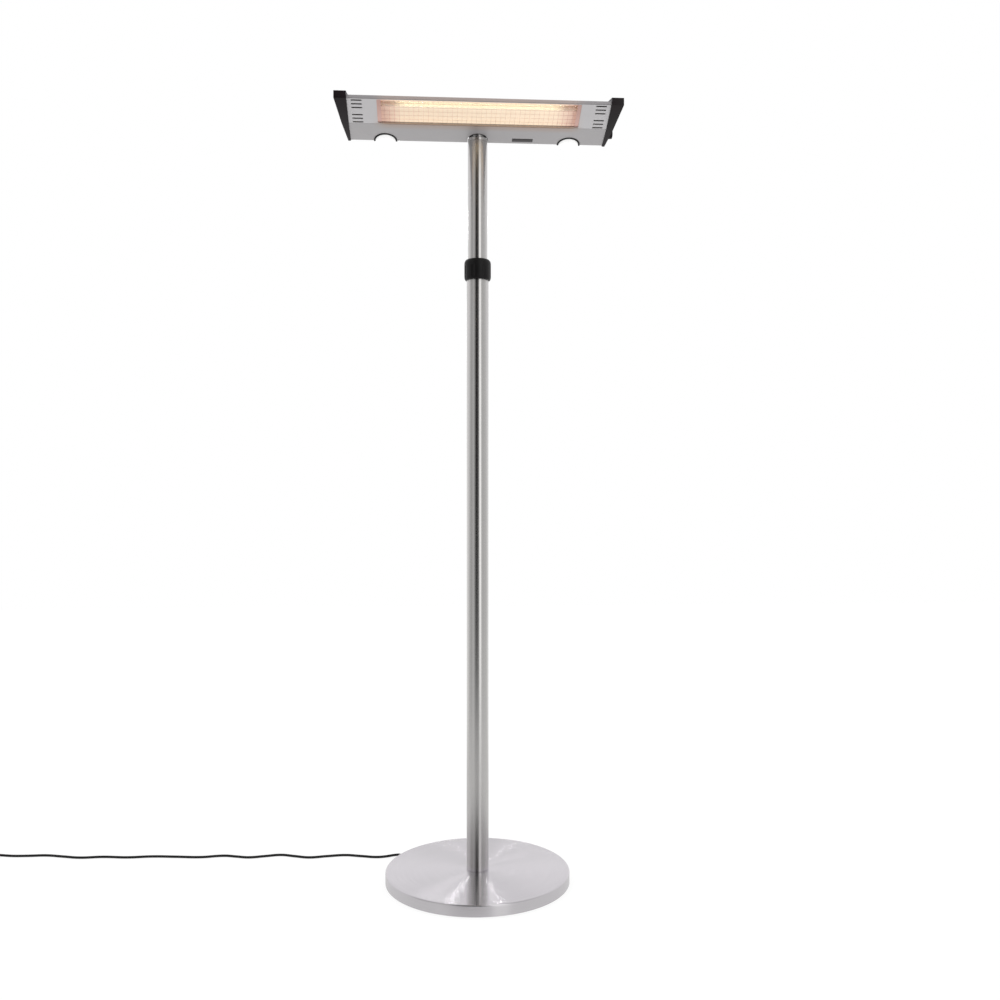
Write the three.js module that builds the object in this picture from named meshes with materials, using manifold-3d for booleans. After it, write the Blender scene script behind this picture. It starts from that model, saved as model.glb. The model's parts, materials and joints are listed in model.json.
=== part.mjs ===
// Infrared patio heater tower: a round weighted base, a telescopic steel mast and
// a tilting heater head with two lamps. Millimetres, +Z up, front of the head faces -Y.
// The origin is on the floor, on the axis of the mast.
import * as THREE from 'three';
import { mergeVertices } from 'three/addons/utils/BufferGeometryUtils.js';
import Module from 'manifold-3d';

const wasm = await Module();
wasm.setup();

// ---------------------------------------------------------------- driving dimensions

const fit = 0.3; // gap between neighbouring pieces that touch
const sheet = 1.5; // steel sheet of the base cover, the head shell and the tubes' walls
const roundSides = 32; // sides of the larger turned pieces
const smallSides = 16; // sides of the smaller turned pieces
const screwSides = 12; // sides of the smallest ones
const hexSides = 6;
const cutMargin = 10; // how far a cutting shape reaches past what it cuts

// Base
const baseRadius = 250;
const baseTop = 32;
const baseLift = 2; // free height under the rim of the cover
const baseSides = 64;
const coverEdge = 4; // rounding of the cover's upper edge
const ballastHeight = 21;
const ballastMargin = 10; // from the cover's wall to the ballast
const footRadius = 16;
const footInset = 50; // from the rim to the middle of each foot
const footCount = 4;
const boltRadius = 5;
const boltHeadRadius = 9;
const boltHeadHeight = 5;
const washerRadius = 20;
const washerHeight = 2;
const boltReach = 26; // how far the bolt stands up into the mast
const footPlugHeight = 30;
const leadCircle = 17; // the lead goes up beside the bolt, on this radius
const leadTurnRoom = 40; // the ballast is slotted right through inside this radius

// Mast
const lowerTop = 1660;
const upperRadius = 26.5;
const upperShown = 351; // above the lower tube, with the mast pulled right out
const upperHidden = 209; // and inside it
const glideHeight = 20; // glide below the upper tube
const glideRecess = 4; // wider stretch of the glide's bore
const spigotHeight = 26; // what reaches into a tube
const tubePlay = 0.4; // sliding clearance in the lower tube
const sleeveWall = 1.4; // clamp sleeve between the two tubes

// Twist collar and its clamp sleeve
const collarWall = 6.25;
const collarOverlap = 25.5; // on the lower tube
const collarHeight = 56;
const collarShoulder = 12;
const collarChamfer = 3;
const collarLip = 8; // height of the narrow mouth at the top
const collarMouthWall = 2;
const gripCount = 8;
const gripRadius = 14;
const gripDepth = 1.6;
const sleeveDrop = 60; // sleeve below the lower tube's end
const sleeveSlit = 3;

// Tilt joint
const pivotRise = 39; // of the tilt bolt above the upper tube
const plugCollarHeight = 5;
const plugConeHeight = 5;
const tongueHalf = 11;
const tongueRadius = 14;
const tiltWasher = 1.4;
const cheekSheet = 3;
const tiltBoltRadius = 4;
const tiltHeadRadius = 7.5;
const tiltHeadHeight = 5;
const yokePlateHalf = 31;
const yokeDepthHalf = 18;

// Head: its section, seen from the right, as y and as rises and drops from the tilt bolt
const headHalf = 344;
const noseY = -140.5;
const noseRise = 19;
const noseHeight = 8;
const creaseY = -58.5;
const creaseDrop = 15.5;
const lowestY = 12;
const lowestDrop = 34.5;
const rearY = 52;
const rearDrop = 10;
const roofFront = -60;
const roofRise = 52;
const pocketPlay = 2.5; // round the mast, in the slot that its head stands in
const pocketDrop = 6; // its top in the rear wall, below the tilt bolt

// Front panel, guard and heater
const panelSheet = 1.2;
const openingMargin = 77; // from the opening to the end of the head
const openingStart = 3.5; // along the panel, from either edge to the opening
const louvreInset = 25; // from the middle of the louvres to the end of the head
const louvreLength = 28;
const louvreHeight = 4;
const louvrePitch = 12.8;
const louvreRows = 3; // in each of the two groups
const louvreStart = 8; // from the nose to the first louvre
const louvreFinish = 5; // from the last one to the crease
const guardSheet = 1;
const guardColumns = 30;
const guardRows = 3;
const guardWire = 1.6;
const guardOverlap = 26; // past the opening's ends
const guardLap = 0.8; // past its long edges
const heaterAlong = 35; // the lamp tube's place along the panel
const heaterInside = 17.5; // and behind it
const quartzRadius = 6;
const quartzWall = 1.1;
const filamentRadius = 2;
const reflectorEndGap = 6; // from the opening's end to the reflector's
const reflectorMargin = 2.5; // from its long edges
const reflectorSheet = 0.8;
const reflectorDepth = 28.5;
// The trough's shape, as shares of its width and of its depth
const reflectorShape = [[0, 0], [0.05, 0.35], [0.23, 0.86], [0.34, 1], [0.68, 1], [0.91, 0.47], [1, 0]];
const tubeCapRadius = 7.5;
const tubeCapLength = 26;
const tubeCapGrip = 16; // how far the quartz tube reaches into its cap
const holderLength = 16;
const holderAlongHalf = 11;
const holderClear = 1.5; // from the holder's back to the reflector's depth
const shieldBehind = 10.5; // from the crease to the heat shield
const shieldSheet = 1;

// Lamps
const lampInset = 94; // from the middle of a lamp to the end of the head
const lampRadius = 31.5;
const lampHeight = 35;
const lampProud = 2; // below the lowest edge of the head
const lampRim = 1.5; // and in front, outside the lower panel
const lampStep = 6; // its rim steps up behind the lowest edge
const lampStepRise = 9;
const lampWall = 2.2;
const lampBezel = 4;
const lampBezelHeight = 14;
const lensHeight = 4; // of the lens's flange
const lensDrop = 8; // of the domed lens, below its lamp
const lensSteps = 5;
const ledBoardHeight = 1.6;

// Receiver window, control board and driver
const windowLeft = 94;
const windowLength = 56;
const windowFromLowest = 8;
const windowDepth = 14;
const windowProud = 0.4;
const windowThick = 3;
const boardMargin = 10;
const boardThick = 1.6;
const driverLength = 120;
const driverDepth = 34;
const driverHeight = 36;
const driverLeft = -200;
const driverDrop = 8.5; // from the roof's underside
const blockLeft = 60;
const blockLength = 40;
const blockDepth = 17;
const blockHeight = 20;
const blockDrop = 18.5;
const headLeadGap = 6; // beside the slot for the mast
const headLeadY = 26;
const headLeadRise = 24; // above the tilt bolt
const headLeadHump = 5;
const headLeadStraight = 12; // into the terminal block

// End caps, their plates and screws
const capLip = 2.5; // what the cap stands proud of the shell
const capNoseReach = 5.5;
const capNoseRise = 8;
const capNoseDrop = 3;
const capNoseWidth = 32;
const capRearWidth = 7;
const capWall = 2.5;
const endPlateInset = 0.6;
const endPlateDepth = 2;
const screwRadius = 2;
const screwHeadRadius = 4;
const screwHeadHeight = 2.4;
const screwTip = 3; // past the end plate
const screwY = 30; // the screw that holds each cap, towards the rear
const screwRise = 26; // above the tilt bolt

// Rotary switch and its knob, on the right cap
const knobY = -3;
const knobDrop = 8; // below the tilt bolt
const knobRadius = 13.5;
const knobHeight = 13;
const knobDraft = 1;
const knobEdge = 1.5;
const knobBossMargin = 2;
const knobShaftRadius = 4;
const switchSide = 26;
const switchLength = 24;
const pointerWidth = 3;
const pointerHeight = 1; // above the knob's face, and sunk into it
const pointerMargin = 3;

// Cord
const cordRadius = 3.5;
const cordSides = 8;
const leadRadius = 3.5;
const leadPlay = 1;
const leadBend = 7;
const leadCorner = 1; // rounding of the bend
const leadEase = 20; // straight stretch past a bush
const springLeadRadius = 13;
const springLeadBottom = 700;
const springLeadGap = 12; // below the glide
const glandAngle = 140; // degrees round the base, from +X towards the rear
const glandZ = 9.5;
const glandRadius = 6.5;
const glandTipRadius = 4.7;
const glandStraight = 4;
const glandReach = 24;
const glandFlangeRadius = 8.5;
const glandFlange = 2.5;
const coilRadius = 43; // outer turn, at the middle of the cord
const coilPlay = 1; // between turns side by side
const coilLayerPlay = 0.7; // and between the two layers
const coilSides = 6;
const coilTurns = 3;
const coilLead = 8; // straight length before the first turn
const coilTail = 32;
const plugLift = 0.4; // above the floor
const plugBootWall = 2;
const plugBootRadius = 9;
const plugTaper = 6;
const plugGripRadius = 12;
const plugBodyRadius = 16.8;
const plugBootLength = 16;
const plugGripLength = 30;
const plugFaceLength = 14;
const pinRadius = 2.4;
const pinSpacing = 19;
const pinLength = 19;
const pinRoot = 8;
const pinChamfer = 1;

// ---------------------------------------------------------------- places that follow from them

const boltTop = baseTop + boltReach;
const footCircle = baseRadius - footInset;
const lowerInside = upperRadius + fit + sleeveWall + fit;
const lowerRadius = lowerInside + sheet;
const upperInside = upperRadius - sheet;
const upperBottom = lowerTop - upperHidden;
const upperTop = lowerTop + upperShown;
const collarRadius = lowerRadius + collarWall;
const collarBottom = lowerTop - collarOverlap;
const collarTop = collarBottom + collarHeight;
const pivotZ = upperTop + pivotRise;
const noseBottom = pivotZ + noseRise;
const noseTop = noseBottom + noseHeight;
const creaseZ = pivotZ - creaseDrop;
const lowestZ = pivotZ - lowestDrop;
const rearBottom = pivotZ - rearDrop;
const roofZ = pivotZ + roofRise;
const roofUnder = roofZ - sheet;
const panelLength = Math.hypot(creaseY - noseY, creaseZ - noseBottom);
const pocketHalf = upperRadius + pocketPlay;
const pocketRoof = pivotZ - pocketDrop;
const openingHalf = headHalf - openingMargin;
const openingEnd = panelLength - openingStart;
const louvreX = headHalf - louvreInset;
const reflectorHalf = openingHalf - reflectorEndGap;
const shieldY = creaseY + shieldBehind;
const lampX = headHalf - lampInset;
const lampBottom = lowestZ - lampProud;
const lampTop = lampBottom + lampHeight;
const driverBottom = roofUnder - driverDrop - driverHeight;
const blockBottom = roofUnder - blockDrop - blockHeight;
const screwZ = pivotZ + screwRise;
const knobZ = pivotZ - knobDrop;
const knobBossRadius = knobRadius + knobBossMargin;
const leadBore = leadRadius + leadPlay;
const postLeadX = tongueHalf + leadBore + leadPlay; // the lead leaves the mast beside the tongue
const coilPitch = 2 * cordRadius + coilPlay;
const coilLayerRise = 2 * cordRadius + coilLayerPlay;
const plugRise = plugBodyRadius + plugLift;

// ---------------------------------------------------------------- shared tools

const steel = { color: 0xb9b8b6, roughness: 0.32, metalness: 1 };
const silver = { color: 0xc4c2c2, roughness: 0.45, metalness: 0.6 };
const darkSteel = { color: 0x6b6b6b, roughness: 0.5, metalness: 0.9 };
const blackPlastic = { color: 0x191817, roughness: 0.55, metalness: 0 };
const rubber = { color: 0x141414, roughness: 0.85, metalness: 0 };
const ceramic = { color: 0xe9e4da, roughness: 0.6, metalness: 0 };
const polished = { color: 0xe6dfd2, roughness: 0.15, metalness: 1 };
const concrete = { color: 0x8d8b87, roughness: 0.95, metalness: 0 };
const quartz = { color: 0xffe9c8, roughness: 0.1, metalness: 0 };
const glow = { color: 0xffd79a, roughness: 0.4, metalness: 0 };
const board = { color: 0x2c5a3c, roughness: 0.6, metalness: 0 };
const brass = { color: 0xc9a552, roughness: 0.3, metalness: 1 };

const heater = new THREE.Group();

function addPiece(name, geometry, look) {
  const piece = new THREE.Mesh(outward(geometry), new THREE.MeshStandardMaterial(look));
  piece.name = name;
  heater.add(piece);
  return piece;
}

function welded(geometry) {
  const bare = geometry.clone();
  bare.deleteAttribute('normal');
  bare.deleteAttribute('uv');
  const merged = mergeVertices(bare, 1e-4);
  const index = merged.index.array;
  const kept = [];
  for (let i = 0; i < index.length; i += 3) {
    const [a, b, c] = [index[i], index[i + 1], index[i + 2]];
    if (a !== b && b !== c && c !== a) kept.push(a, b, c);
  }
  merged.setIndex(kept);
  return merged;
}

function signedVolume(geometry) {
  const place = geometry.attributes.position;
  const index = geometry.index.array;
  const [a, b, c] = [new THREE.Vector3(), new THREE.Vector3(), new THREE.Vector3()];
  let volume = 0;
  for (let i = 0; i < index.length; i += 3) {
    a.fromBufferAttribute(place, index[i]);
    b.fromBufferAttribute(place, index[i + 1]);
    c.fromBufferAttribute(place, index[i + 2]);
    volume += a.dot(b.cross(c)) / 6;
  }
  return volume;
}

// Gives the merged shape with its faces pointing out, whichever way it was drawn.
function outward(geometry) {
  const merged = welded(geometry);
  if (signedVolume(merged) < 0) {
    const index = merged.index.array;
    for (let i = 0; i < index.length; i += 3) {
      [index[i], index[i + 1]] = [index[i + 1], index[i]];
    }
  }
  merged.computeVertexNormals();
  return merged;
}

function solidOf(geometry) {
  const merged = outward(geometry);
  const mesh = new wasm.Mesh({
    numProp: 3,
    vertProperties: new Float32Array(merged.attributes.position.array),
    triVerts: new Uint32Array(merged.index.array),
  });
  return new wasm.Manifold(mesh);
}

function geometryOf(solid) {
  const mesh = solid.getMesh();
  const geometry = new THREE.BufferGeometry();
  geometry.setAttribute('position', new THREE.BufferAttribute(mesh.vertProperties, mesh.numProp));
  geometry.setIndex(new THREE.BufferAttribute(mesh.triVerts, 1));
  return geometry;
}

function cut(geometry, ...tools) {
  return geometryOf(tools.reduce((rest, tool) => rest.subtract(solidOf(tool)), solidOf(geometry)));
}

function join(geometry, ...others) {
  return geometryOf(others.reduce((sum, other) => sum.add(solidOf(other)), solidOf(geometry)));
}

function common(geometry, other) {
  return geometryOf(solidOf(geometry).intersect(solidOf(other)));
}

// A profile of (radius, height) turned round Z. It starts and ends on the axis.
function turned(profile, sides) {
  const points = profile.map(([r, z]) => new THREE.Vector2(r, z));
  return new THREE.LatheGeometry(points, sides).rotateX(Math.PI / 2);
}

// A closed profile turned round Z, such as a tube's.
function turnedRing(profile, sides) {
  return turned([...profile, profile[0]], sides);
}

function pipe(inner, outer, bottom, top, sides) {
  return turnedRing([[inner, bottom], [outer, bottom], [outer, top], [inner, top]], sides);
}

function rod(radius, bottom, top, sides) {
  return turned([[0, bottom], [radius, bottom], [radius, top], [0, top]], sides);
}

// Turns a piece made round Z so that its axis lies along X.
function alongX(geometry, y, z) {
  return geometry.rotateY(Math.PI / 2).translate(0, y, z);
}

function box(low, high) {
  const [x, y, z] = high.map((value, i) => value - low[i]);
  const middle = high.map((value, i) => (value + low[i]) / 2);
  return new THREE.BoxGeometry(x, y, z).translate(...middle);
}

function shapeOf(points) {
  return new THREE.Shape(points.map(([a, b]) => new THREE.Vector2(a, b)));
}

// A section given as (y, z) points, drawn out along X.
function sectionAlongX(points, left, right) {
  const drawn = new THREE.ExtrudeGeometry(shapeOf(points), { depth: right - left, bevelEnabled: false });
  const turn = new THREE.Matrix4().makeBasis(
    new THREE.Vector3(0, 1, 0),
    new THREE.Vector3(0, 0, 1),
    new THREE.Vector3(1, 0, 0),
  );
  return drawn.applyMatrix4(turn).translate(left, 0, 0);
}

// Moves each point of an open or closed outline sideways by a distance, with mitred corners.
function offsetOutline(points, distance, closed) {
  const count = points.length;
  const normalAfter = (i) => {
    const [a, b] = [points[i % count], points[(i + 1) % count]];
    const length = Math.hypot(b[0] - a[0], b[1] - a[1]);
    return [(b[1] - a[1]) / length, -(b[0] - a[0]) / length];
  };
  return points.map(([y, z], i) => {
    const before = closed || i > 0 ? normalAfter((i + count - 1) % count) : normalAfter(i);
    const after = closed || i < count - 1 ? normalAfter(i) : before;
    const scale = distance / (1 + before[0] * after[0] + before[1] * after[1]);
    return [y + (before[0] + after[0]) * scale, z + (before[1] + after[1]) * scale];
  });
}

// A round tube along a smooth path through the points.
function tubeAlong(curve, radius, sides, steps) {
  const ring = [];
  for (let i = 0; i < sides; i += 1) {
    const angle = (i / sides) * 2 * Math.PI;
    ring.push([radius * Math.cos(angle), radius * Math.sin(angle)]);
  }
  return new THREE.ExtrudeGeometry(shapeOf(ring), { steps, extrudePath: curve, bevelEnabled: false });
}

function curveThrough(points) {
  return new THREE.CatmullRomCurve3(points.map((p) => new THREE.Vector3(...p)), false, 'centripetal');
}

// ---------------------------------------------------------------- base

const coverUnder = baseTop - sheet;
const ballastTop = coverUnder - fit;
const ballastBottom = ballastTop - ballastHeight;
const ballastRadius = baseRadius - sheet - ballastMargin;
const glandTurn = THREE.MathUtils.degToRad(glandAngle);
const leadHole = leadBore + leadPlay / 2;

function radially(geometry) {
  return geometry.rotateZ(glandTurn);
}

// The upright hole beside the bolt that the lead goes up through.
function leadWay(bottom, top) {
  return radially(rod(leadHole, bottom, top, smallSides).translate(leadCircle, 0, 0));
}

function makeBaseCover() {
  const wall = baseRadius - sheet;
  const edge = coverEdge * (1 - Math.SQRT1_2);
  const profile = [
    [0, coverUnder],
    [wall - coverEdge, coverUnder],
    [wall, coverUnder - coverEdge],
    [wall, baseLift],
    [baseRadius, baseLift],
    [baseRadius, baseTop - coverEdge],
    [baseRadius - edge, baseTop - edge],
    [baseRadius - coverEdge, baseTop],
    [0, baseTop],
  ];
  const glandHole = rod(glandRadius + fit, wall - coverEdge, baseRadius + coverEdge, smallSides);
  return cut(
    turned(profile, baseSides),
    rod(boltRadius + fit, 0, boltTop, smallSides),
    leadWay(0, boltTop),
    radially(alongX(glandHole, 0, glandZ)),
  );
}

function makeBallast() {
  const channel = box([boltRadius * 2, -leadHole, 0], [baseRadius, leadHole, glandZ + leadHole]);
  const slot = box([boltRadius * 2, -leadHole, 0], [leadTurnRoom, leadHole, baseTop]);
  return cut(
    rod(ballastRadius, ballastBottom, ballastTop, baseSides),
    rod(boltRadius + fit, 0, boltTop, smallSides),
    radially(channel),
    radially(slot),
  );
}

function makeBaseBolt() {
  const headTop = ballastBottom - fit - washerHeight - fit;
  const head = rod(boltHeadRadius, headTop - boltHeadHeight, headTop, hexSides);
  return join(head, rod(boltRadius, headTop - fit, boltTop, smallSides));
}

function makeFootPlug() {
  const bottom = baseTop + fit;
  const radius = lowerRadius - sheet - fit;
  return cut(
    rod(radius, bottom, bottom + footPlugHeight, roundSides),
    rod(boltRadius + fit, 0, boltTop + fit, smallSides),
    leadWay(0, boltTop + footPlugHeight),
  );
}

function addBase() {
  addPiece('base_cover', makeBaseCover(), steel);
  addPiece('base_ballast', makeBallast(), concrete);
  for (let i = 0; i < footCount; i += 1) {
    const turn = glandTurn + (i + 0.5) * (2 * Math.PI / footCount);
    const foot = rod(footRadius, 0, ballastBottom - fit, smallSides);
    foot.translate(footCircle * Math.cos(turn), footCircle * Math.sin(turn), 0);
    addPiece(`base_foot_${i + 1}`, foot, rubber);
  }
  const washerTop = ballastBottom - fit;
  const washer = pipe(boltRadius + fit, washerRadius, washerTop - washerHeight, washerTop, smallSides);
  addPiece('base_washer', cut(washer, leadWay(0, washerTop)), darkSteel);
  addPiece('base_bolt', makeBaseBolt(), darkSteel);
  addPiece('foot_plug', makeFootPlug(), darkSteel);
}

// ---------------------------------------------------------------- mast

const glideBottom = upperBottom - fit - glideHeight;
const sleeveTop = collarTop - collarLip - fit;

function makeCollar() {
  const bore = lowerRadius + fit;
  const mouth = upperRadius + tubePlay;
  const profile = [[bore, collarBottom], [collarRadius - collarChamfer, collarBottom]];
  profile.push([collarRadius, collarBottom + collarChamfer]);
  for (let step = 0; step <= 4; step += 1) {
    const turn = (step / 4) * (Math.PI / 2);
    const rise = collarShoulder * Math.sin(turn);
    const run = (collarRadius - mouth) * (1 - Math.cos(turn));
    const radius = Math.max(collarRadius - run, mouth + collarMouthWall);
    profile.push([radius, collarTop - collarShoulder + rise]);
  }
  profile.push([mouth, collarTop], [mouth, collarTop - collarLip], [bore, collarTop - collarLip]);
  const grips = [];
  for (let i = 0; i < gripCount; i += 1) {
    const turn = (i + 0.5) * (2 * Math.PI / gripCount) - Math.PI / 2;
    const reach = collarRadius + gripRadius - gripDepth;
    const grip = rod(gripRadius, collarBottom - cutMargin, collarTop - collarShoulder, smallSides);
    grips.push(grip.translate(reach * Math.cos(turn), reach * Math.sin(turn), 0));
  }
  return cut(turnedRing(profile, roundSides), ...grips);
}

function makeClampSleeve() {
  const bore = upperRadius + fit;
  const inLower = lowerInside - fit;
  const profile = [
    [bore, lowerTop - sleeveDrop],
    [inLower, lowerTop - sleeveDrop],
    [inLower, lowerTop + fit],
    [lowerRadius, lowerTop + fit],
    [lowerRadius, sleeveTop],
    [bore, sleeveTop],
  ];
  const slitBottom = lowerTop - sleeveDrop - cutMargin;
  const slit = box([-sleeveSlit / 2, 0, slitBottom], [sleeveSlit / 2, collarRadius, collarTop]);
  return cut(turnedRing(profile, roundSides), slit);
}

function makeGlide() {
  const profile = [
    [leadBore + glideRecess, glideBottom],
    [lowerInside - tubePlay, glideBottom],
    [lowerInside - tubePlay, upperBottom - fit],
    [upperInside - fit, upperBottom - fit],
    [upperInside - fit, upperBottom + spigotHeight],
    [leadBore, upperBottom + spigotHeight],
    [leadBore, glideBottom + glideHeight / 2],
    [leadBore + glideRecess, glideBottom + glideHeight / 2],
  ];
  return turnedRing(profile, smallSides);
}

function tongueOutline() {
  const outline = [[tongueRadius, upperTop + plugCollarHeight]];
  for (let step = 0; step <= 10; step += 1) {
    const turn = (step / 10) * Math.PI;
    outline.push([tongueRadius * Math.cos(turn), pivotZ + tongueRadius * Math.sin(turn)]);
  }
  outline.push([-tongueRadius, upperTop + plugCollarHeight]);
  return outline;
}

function makePostPlug() {
  const collarBase = upperTop + fit;
  const coneBase = upperTop + plugCollarHeight;
  const coneTop = coneBase + plugConeHeight;
  const body = turned([
    [0, upperTop - spigotHeight],
    [upperInside - fit, upperTop - spigotHeight],
    [upperInside - fit, collarBase],
    [upperRadius, collarBase],
    [upperRadius, coneBase],
    [upperRadius - plugConeHeight, coneTop],
    [0, coneTop],
  ], roundSides);
  const tongue = sectionAlongX(tongueOutline(), -tongueHalf, tongueHalf);
  const pinHole = alongX(rod(tiltBoltRadius + fit, -lowerRadius, lowerRadius, smallSides), 0, pivotZ);
  const leadHoleUp = rod(leadBore, upperTop - spigotHeight - cutMargin, coneTop + cutMargin, smallSides);
  return cut(join(body, tongue), pinHole, leadHoleUp.translate(postLeadX, 0, 0));
}

function addMast() {
  const lowerTube = pipe(lowerInside, lowerRadius, baseTop + fit, lowerTop, roundSides);
  addPiece('lower_tube', lowerTube, steel);
  addPiece('clamp_sleeve', makeClampSleeve(), blackPlastic);
  addPiece('twist_collar', makeCollar(), blackPlastic);
  addPiece('upper_tube', pipe(upperInside, upperRadius, upperBottom, upperTop, roundSides), steel);
  addPiece('mast_glide', makeGlide(), blackPlastic);
  addPiece('post_plug', makePostPlug(), steel);
}

// ---------------------------------------------------------------- head section

const shellPath = [
  [noseY, noseBottom],
  [noseY, noseTop],
  [roofFront, roofZ],
  [rearY, roofZ],
  [rearY, rearBottom],
  [lowestY, lowestZ],
  [creaseY, creaseZ],
];

const panelDown = [(creaseY - noseY) / panelLength, (creaseZ - noseBottom) / panelLength];
const lowerLength = Math.hypot(lowestY - creaseY, lowestZ - creaseZ);
const lowerDown = [(lowestY - creaseY) / lowerLength, (lowestZ - creaseZ) / lowerLength];

// The point (y, z) that lies along the front panel, from the nose, and inside it.
function onPanel(along, inside) {
  return [
    noseY + panelDown[0] * along - panelDown[1] * inside,
    noseBottom + panelDown[1] * along + panelDown[0] * inside,
  ];
}

// The same for the lower panel, from the crease to the lowest edge.
function onLower(along, inside) {
  return [
    creaseY + lowerDown[0] * along - lowerDown[1] * inside,
    creaseZ + lowerDown[1] * along + lowerDown[0] * inside,
  ];
}

function slab(place, alongRange, insideRange, xRange) {
  const [a, b] = alongRange;
  const [low, high] = insideRange;
  const corners = [place(a, low), place(b, low), place(b, high), place(a, high)];
  return sectionAlongX(corners, xRange[0], xRange[1]);
}

const screwHole = screwRadius + fit;

function lampHoles() {
  const holeTop = lampTop + fit;
  return [-lampX, lampX].map((x) => (
    rod(lampRadius + fit, lampBottom - cutMargin, holeTop, roundSides).translate(x, lowestY, 0)
  ));
}

function windowRange() {
  return [lowerLength - windowFromLowest - windowDepth, lowerLength - windowFromLowest];
}

function makeShell() {
  const inner = offsetOutline(shellPath, sheet, false);
  const section = [...shellPath, ...inner.reverse()];
  const pocketFloor = lowestZ - cutMargin;
  const pocketFront = rod(pocketHalf, pocketFloor, pocketRoof, roundSides);
  const pocketRear = box([-pocketHalf, 0, pocketFloor], [pocketHalf, rearY + cutMargin, pocketRoof]);
  const [start, end] = windowRange();
  const opening = slab(
    onLower,
    [start - fit, end + fit],
    [-sheet, 2 * sheet],
    [windowLeft - fit, windowLeft + windowLength + fit],
  );
  return cut(
    sectionAlongX(section, -headHalf, headHalf),
    pocketFront,
    pocketRear,
    opening,
    ...lampHoles(),
  );
}

// A flat plate that lies along the front panel, with oblong holes given as
// their left, right, start and end.
function panelPlate(half, start, end, holes, inside, thick) {
  const plate = slab(onPanel, [start, end], [inside, inside + thick], [-half, half]);
  const tools = holes.map(([left, right, top, bottom]) => (
    slab(onPanel, [top, bottom], [inside - thick, inside + 2 * thick], [left, right])
  ));
  return cut(plate, ...tools);
}

function makeFrontPanel() {
  const holes = [[-openingHalf, openingHalf, openingStart, openingEnd]];
  for (const side of [-1, 1]) {
    const [left, right] = [side * louvreX - louvreLength / 2, side * louvreX + louvreLength / 2];
    for (let row = 0; row < louvreRows; row += 1) {
      const upper = louvreStart + row * louvrePitch;
      const lower = panelLength - louvreFinish - row * louvrePitch;
      holes.push([left, right, upper - louvreHeight / 2, upper + louvreHeight / 2]);
      holes.push([left, right, lower - louvreHeight / 2, lower + louvreHeight / 2]);
    }
  }
  const start = sheet + 2 * fit;
  return panelPlate(headHalf - fit, start, panelLength - 2 * fit, holes, 0, panelSheet);
}

const guardInside = panelSheet + fit;
const guardHalf = openingHalf + guardOverlap;
const behindGuard = guardInside + guardSheet + fit;

function makeGuard() {
  const holes = [];
  const columnStep = (2 * openingHalf) / guardColumns;
  const rowStep = (openingEnd - openingStart) / guardRows;
  for (let column = 0; column < guardColumns; column += 1) {
    for (let row = 0; row < guardRows; row += 1) {
      const left = -openingHalf + column * columnStep + guardWire / 2;
      const top = openingStart + row * rowStep + guardWire / 2;
      holes.push([left, left + columnStep - guardWire, top, top + rowStep - guardWire]);
    }
  }
  const [start, end] = [openingStart - guardLap, openingEnd + guardLap];
  return panelPlate(guardHalf, start, end, holes, guardInside, guardSheet);
}

// ---------------------------------------------------------------- heater

const [heaterY, heaterZ] = onPanel(heaterAlong, heaterInside);
const tubeCapStart = reflectorHalf + fit;
const tubeCapEnd = tubeCapStart + tubeCapLength;
const quartzEnd = tubeCapStart + tubeCapGrip - fit;

function makeReflector() {
  const edge = behindGuard + reflectorSheet / 2;
  const start = openingStart + reflectorMargin;
  const width = openingEnd - reflectorMargin - start;
  const trough = reflectorShape.map(([across, deep]) => (
    onPanel(start + across * width, edge + deep * (reflectorDepth - edge))
  ));
  const inner = offsetOutline(trough, reflectorSheet, false);
  return sectionAlongX([...trough, ...inner.reverse()], -reflectorHalf, reflectorHalf);
}

function makeTubeCap(side) {
  const deep = tubeCapStart + tubeCapGrip;
  const profile = [
    [quartzRadius + fit, tubeCapStart],
    [tubeCapRadius, tubeCapStart],
    [tubeCapRadius, tubeCapEnd],
    [filamentRadius + fit, tubeCapEnd],
    [filamentRadius + fit, deep],
    [quartzRadius + fit, deep],
  ];
  const cap = alongX(turnedRing(profile, smallSides), heaterY, heaterZ);
  return side > 0 ? cap : cap.scale(-1, 1, 1);
}

function makeTubeHolder(side) {
  const start = tubeCapStart + (tubeCapLength - holderLength) / 2;
  const range = side > 0 ? [start, start + holderLength] : [-start - holderLength, -start];
  const alongRange = [heaterAlong - holderAlongHalf, heaterAlong + holderAlongHalf];
  const block = slab(onPanel, alongRange, [behindGuard, reflectorDepth - holderClear], range);
  const [left, right] = [range[0] - cutMargin, range[1] + cutMargin];
  const bore = alongX(rod(tubeCapRadius + fit, left, right, smallSides), heaterY, heaterZ);
  return cut(block, bore);
}

function makeHeatShield() {
  const floor = creaseZ + (shieldY - creaseY) * (lowerDown[1] / lowerDown[0]) + sheet + 2 * fit;
  const reach = headHalf - endPlateDepth - 2 * fit - sheet;
  return box([-reach, shieldY, floor], [reach, shieldY + shieldSheet, roofUnder - fit]);
}

function addHeater() {
  addPiece('reflector', makeReflector(), polished);
  const tube = pipe(quartzRadius - quartzWall, quartzRadius, -quartzEnd, quartzEnd, smallSides);
  addPiece('quartz_tube', alongX(tube, heaterY, heaterZ), quartz);
  const filament = rod(filamentRadius, -tubeCapEnd + fit, tubeCapEnd - fit, 8);
  addPiece('filament', alongX(filament, heaterY, heaterZ), glow);
  for (const [name, side] of [['left', -1], ['right', 1]]) {
    addPiece(`tube_cap_${name}`, makeTubeCap(side), ceramic);
    addPiece(`tube_holder_${name}`, makeTubeHolder(side), ceramic);
  }
  addPiece('heat_shield', makeHeatShield(), darkSteel);
}

// ---------------------------------------------------------------- lamps and electronics

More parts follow.
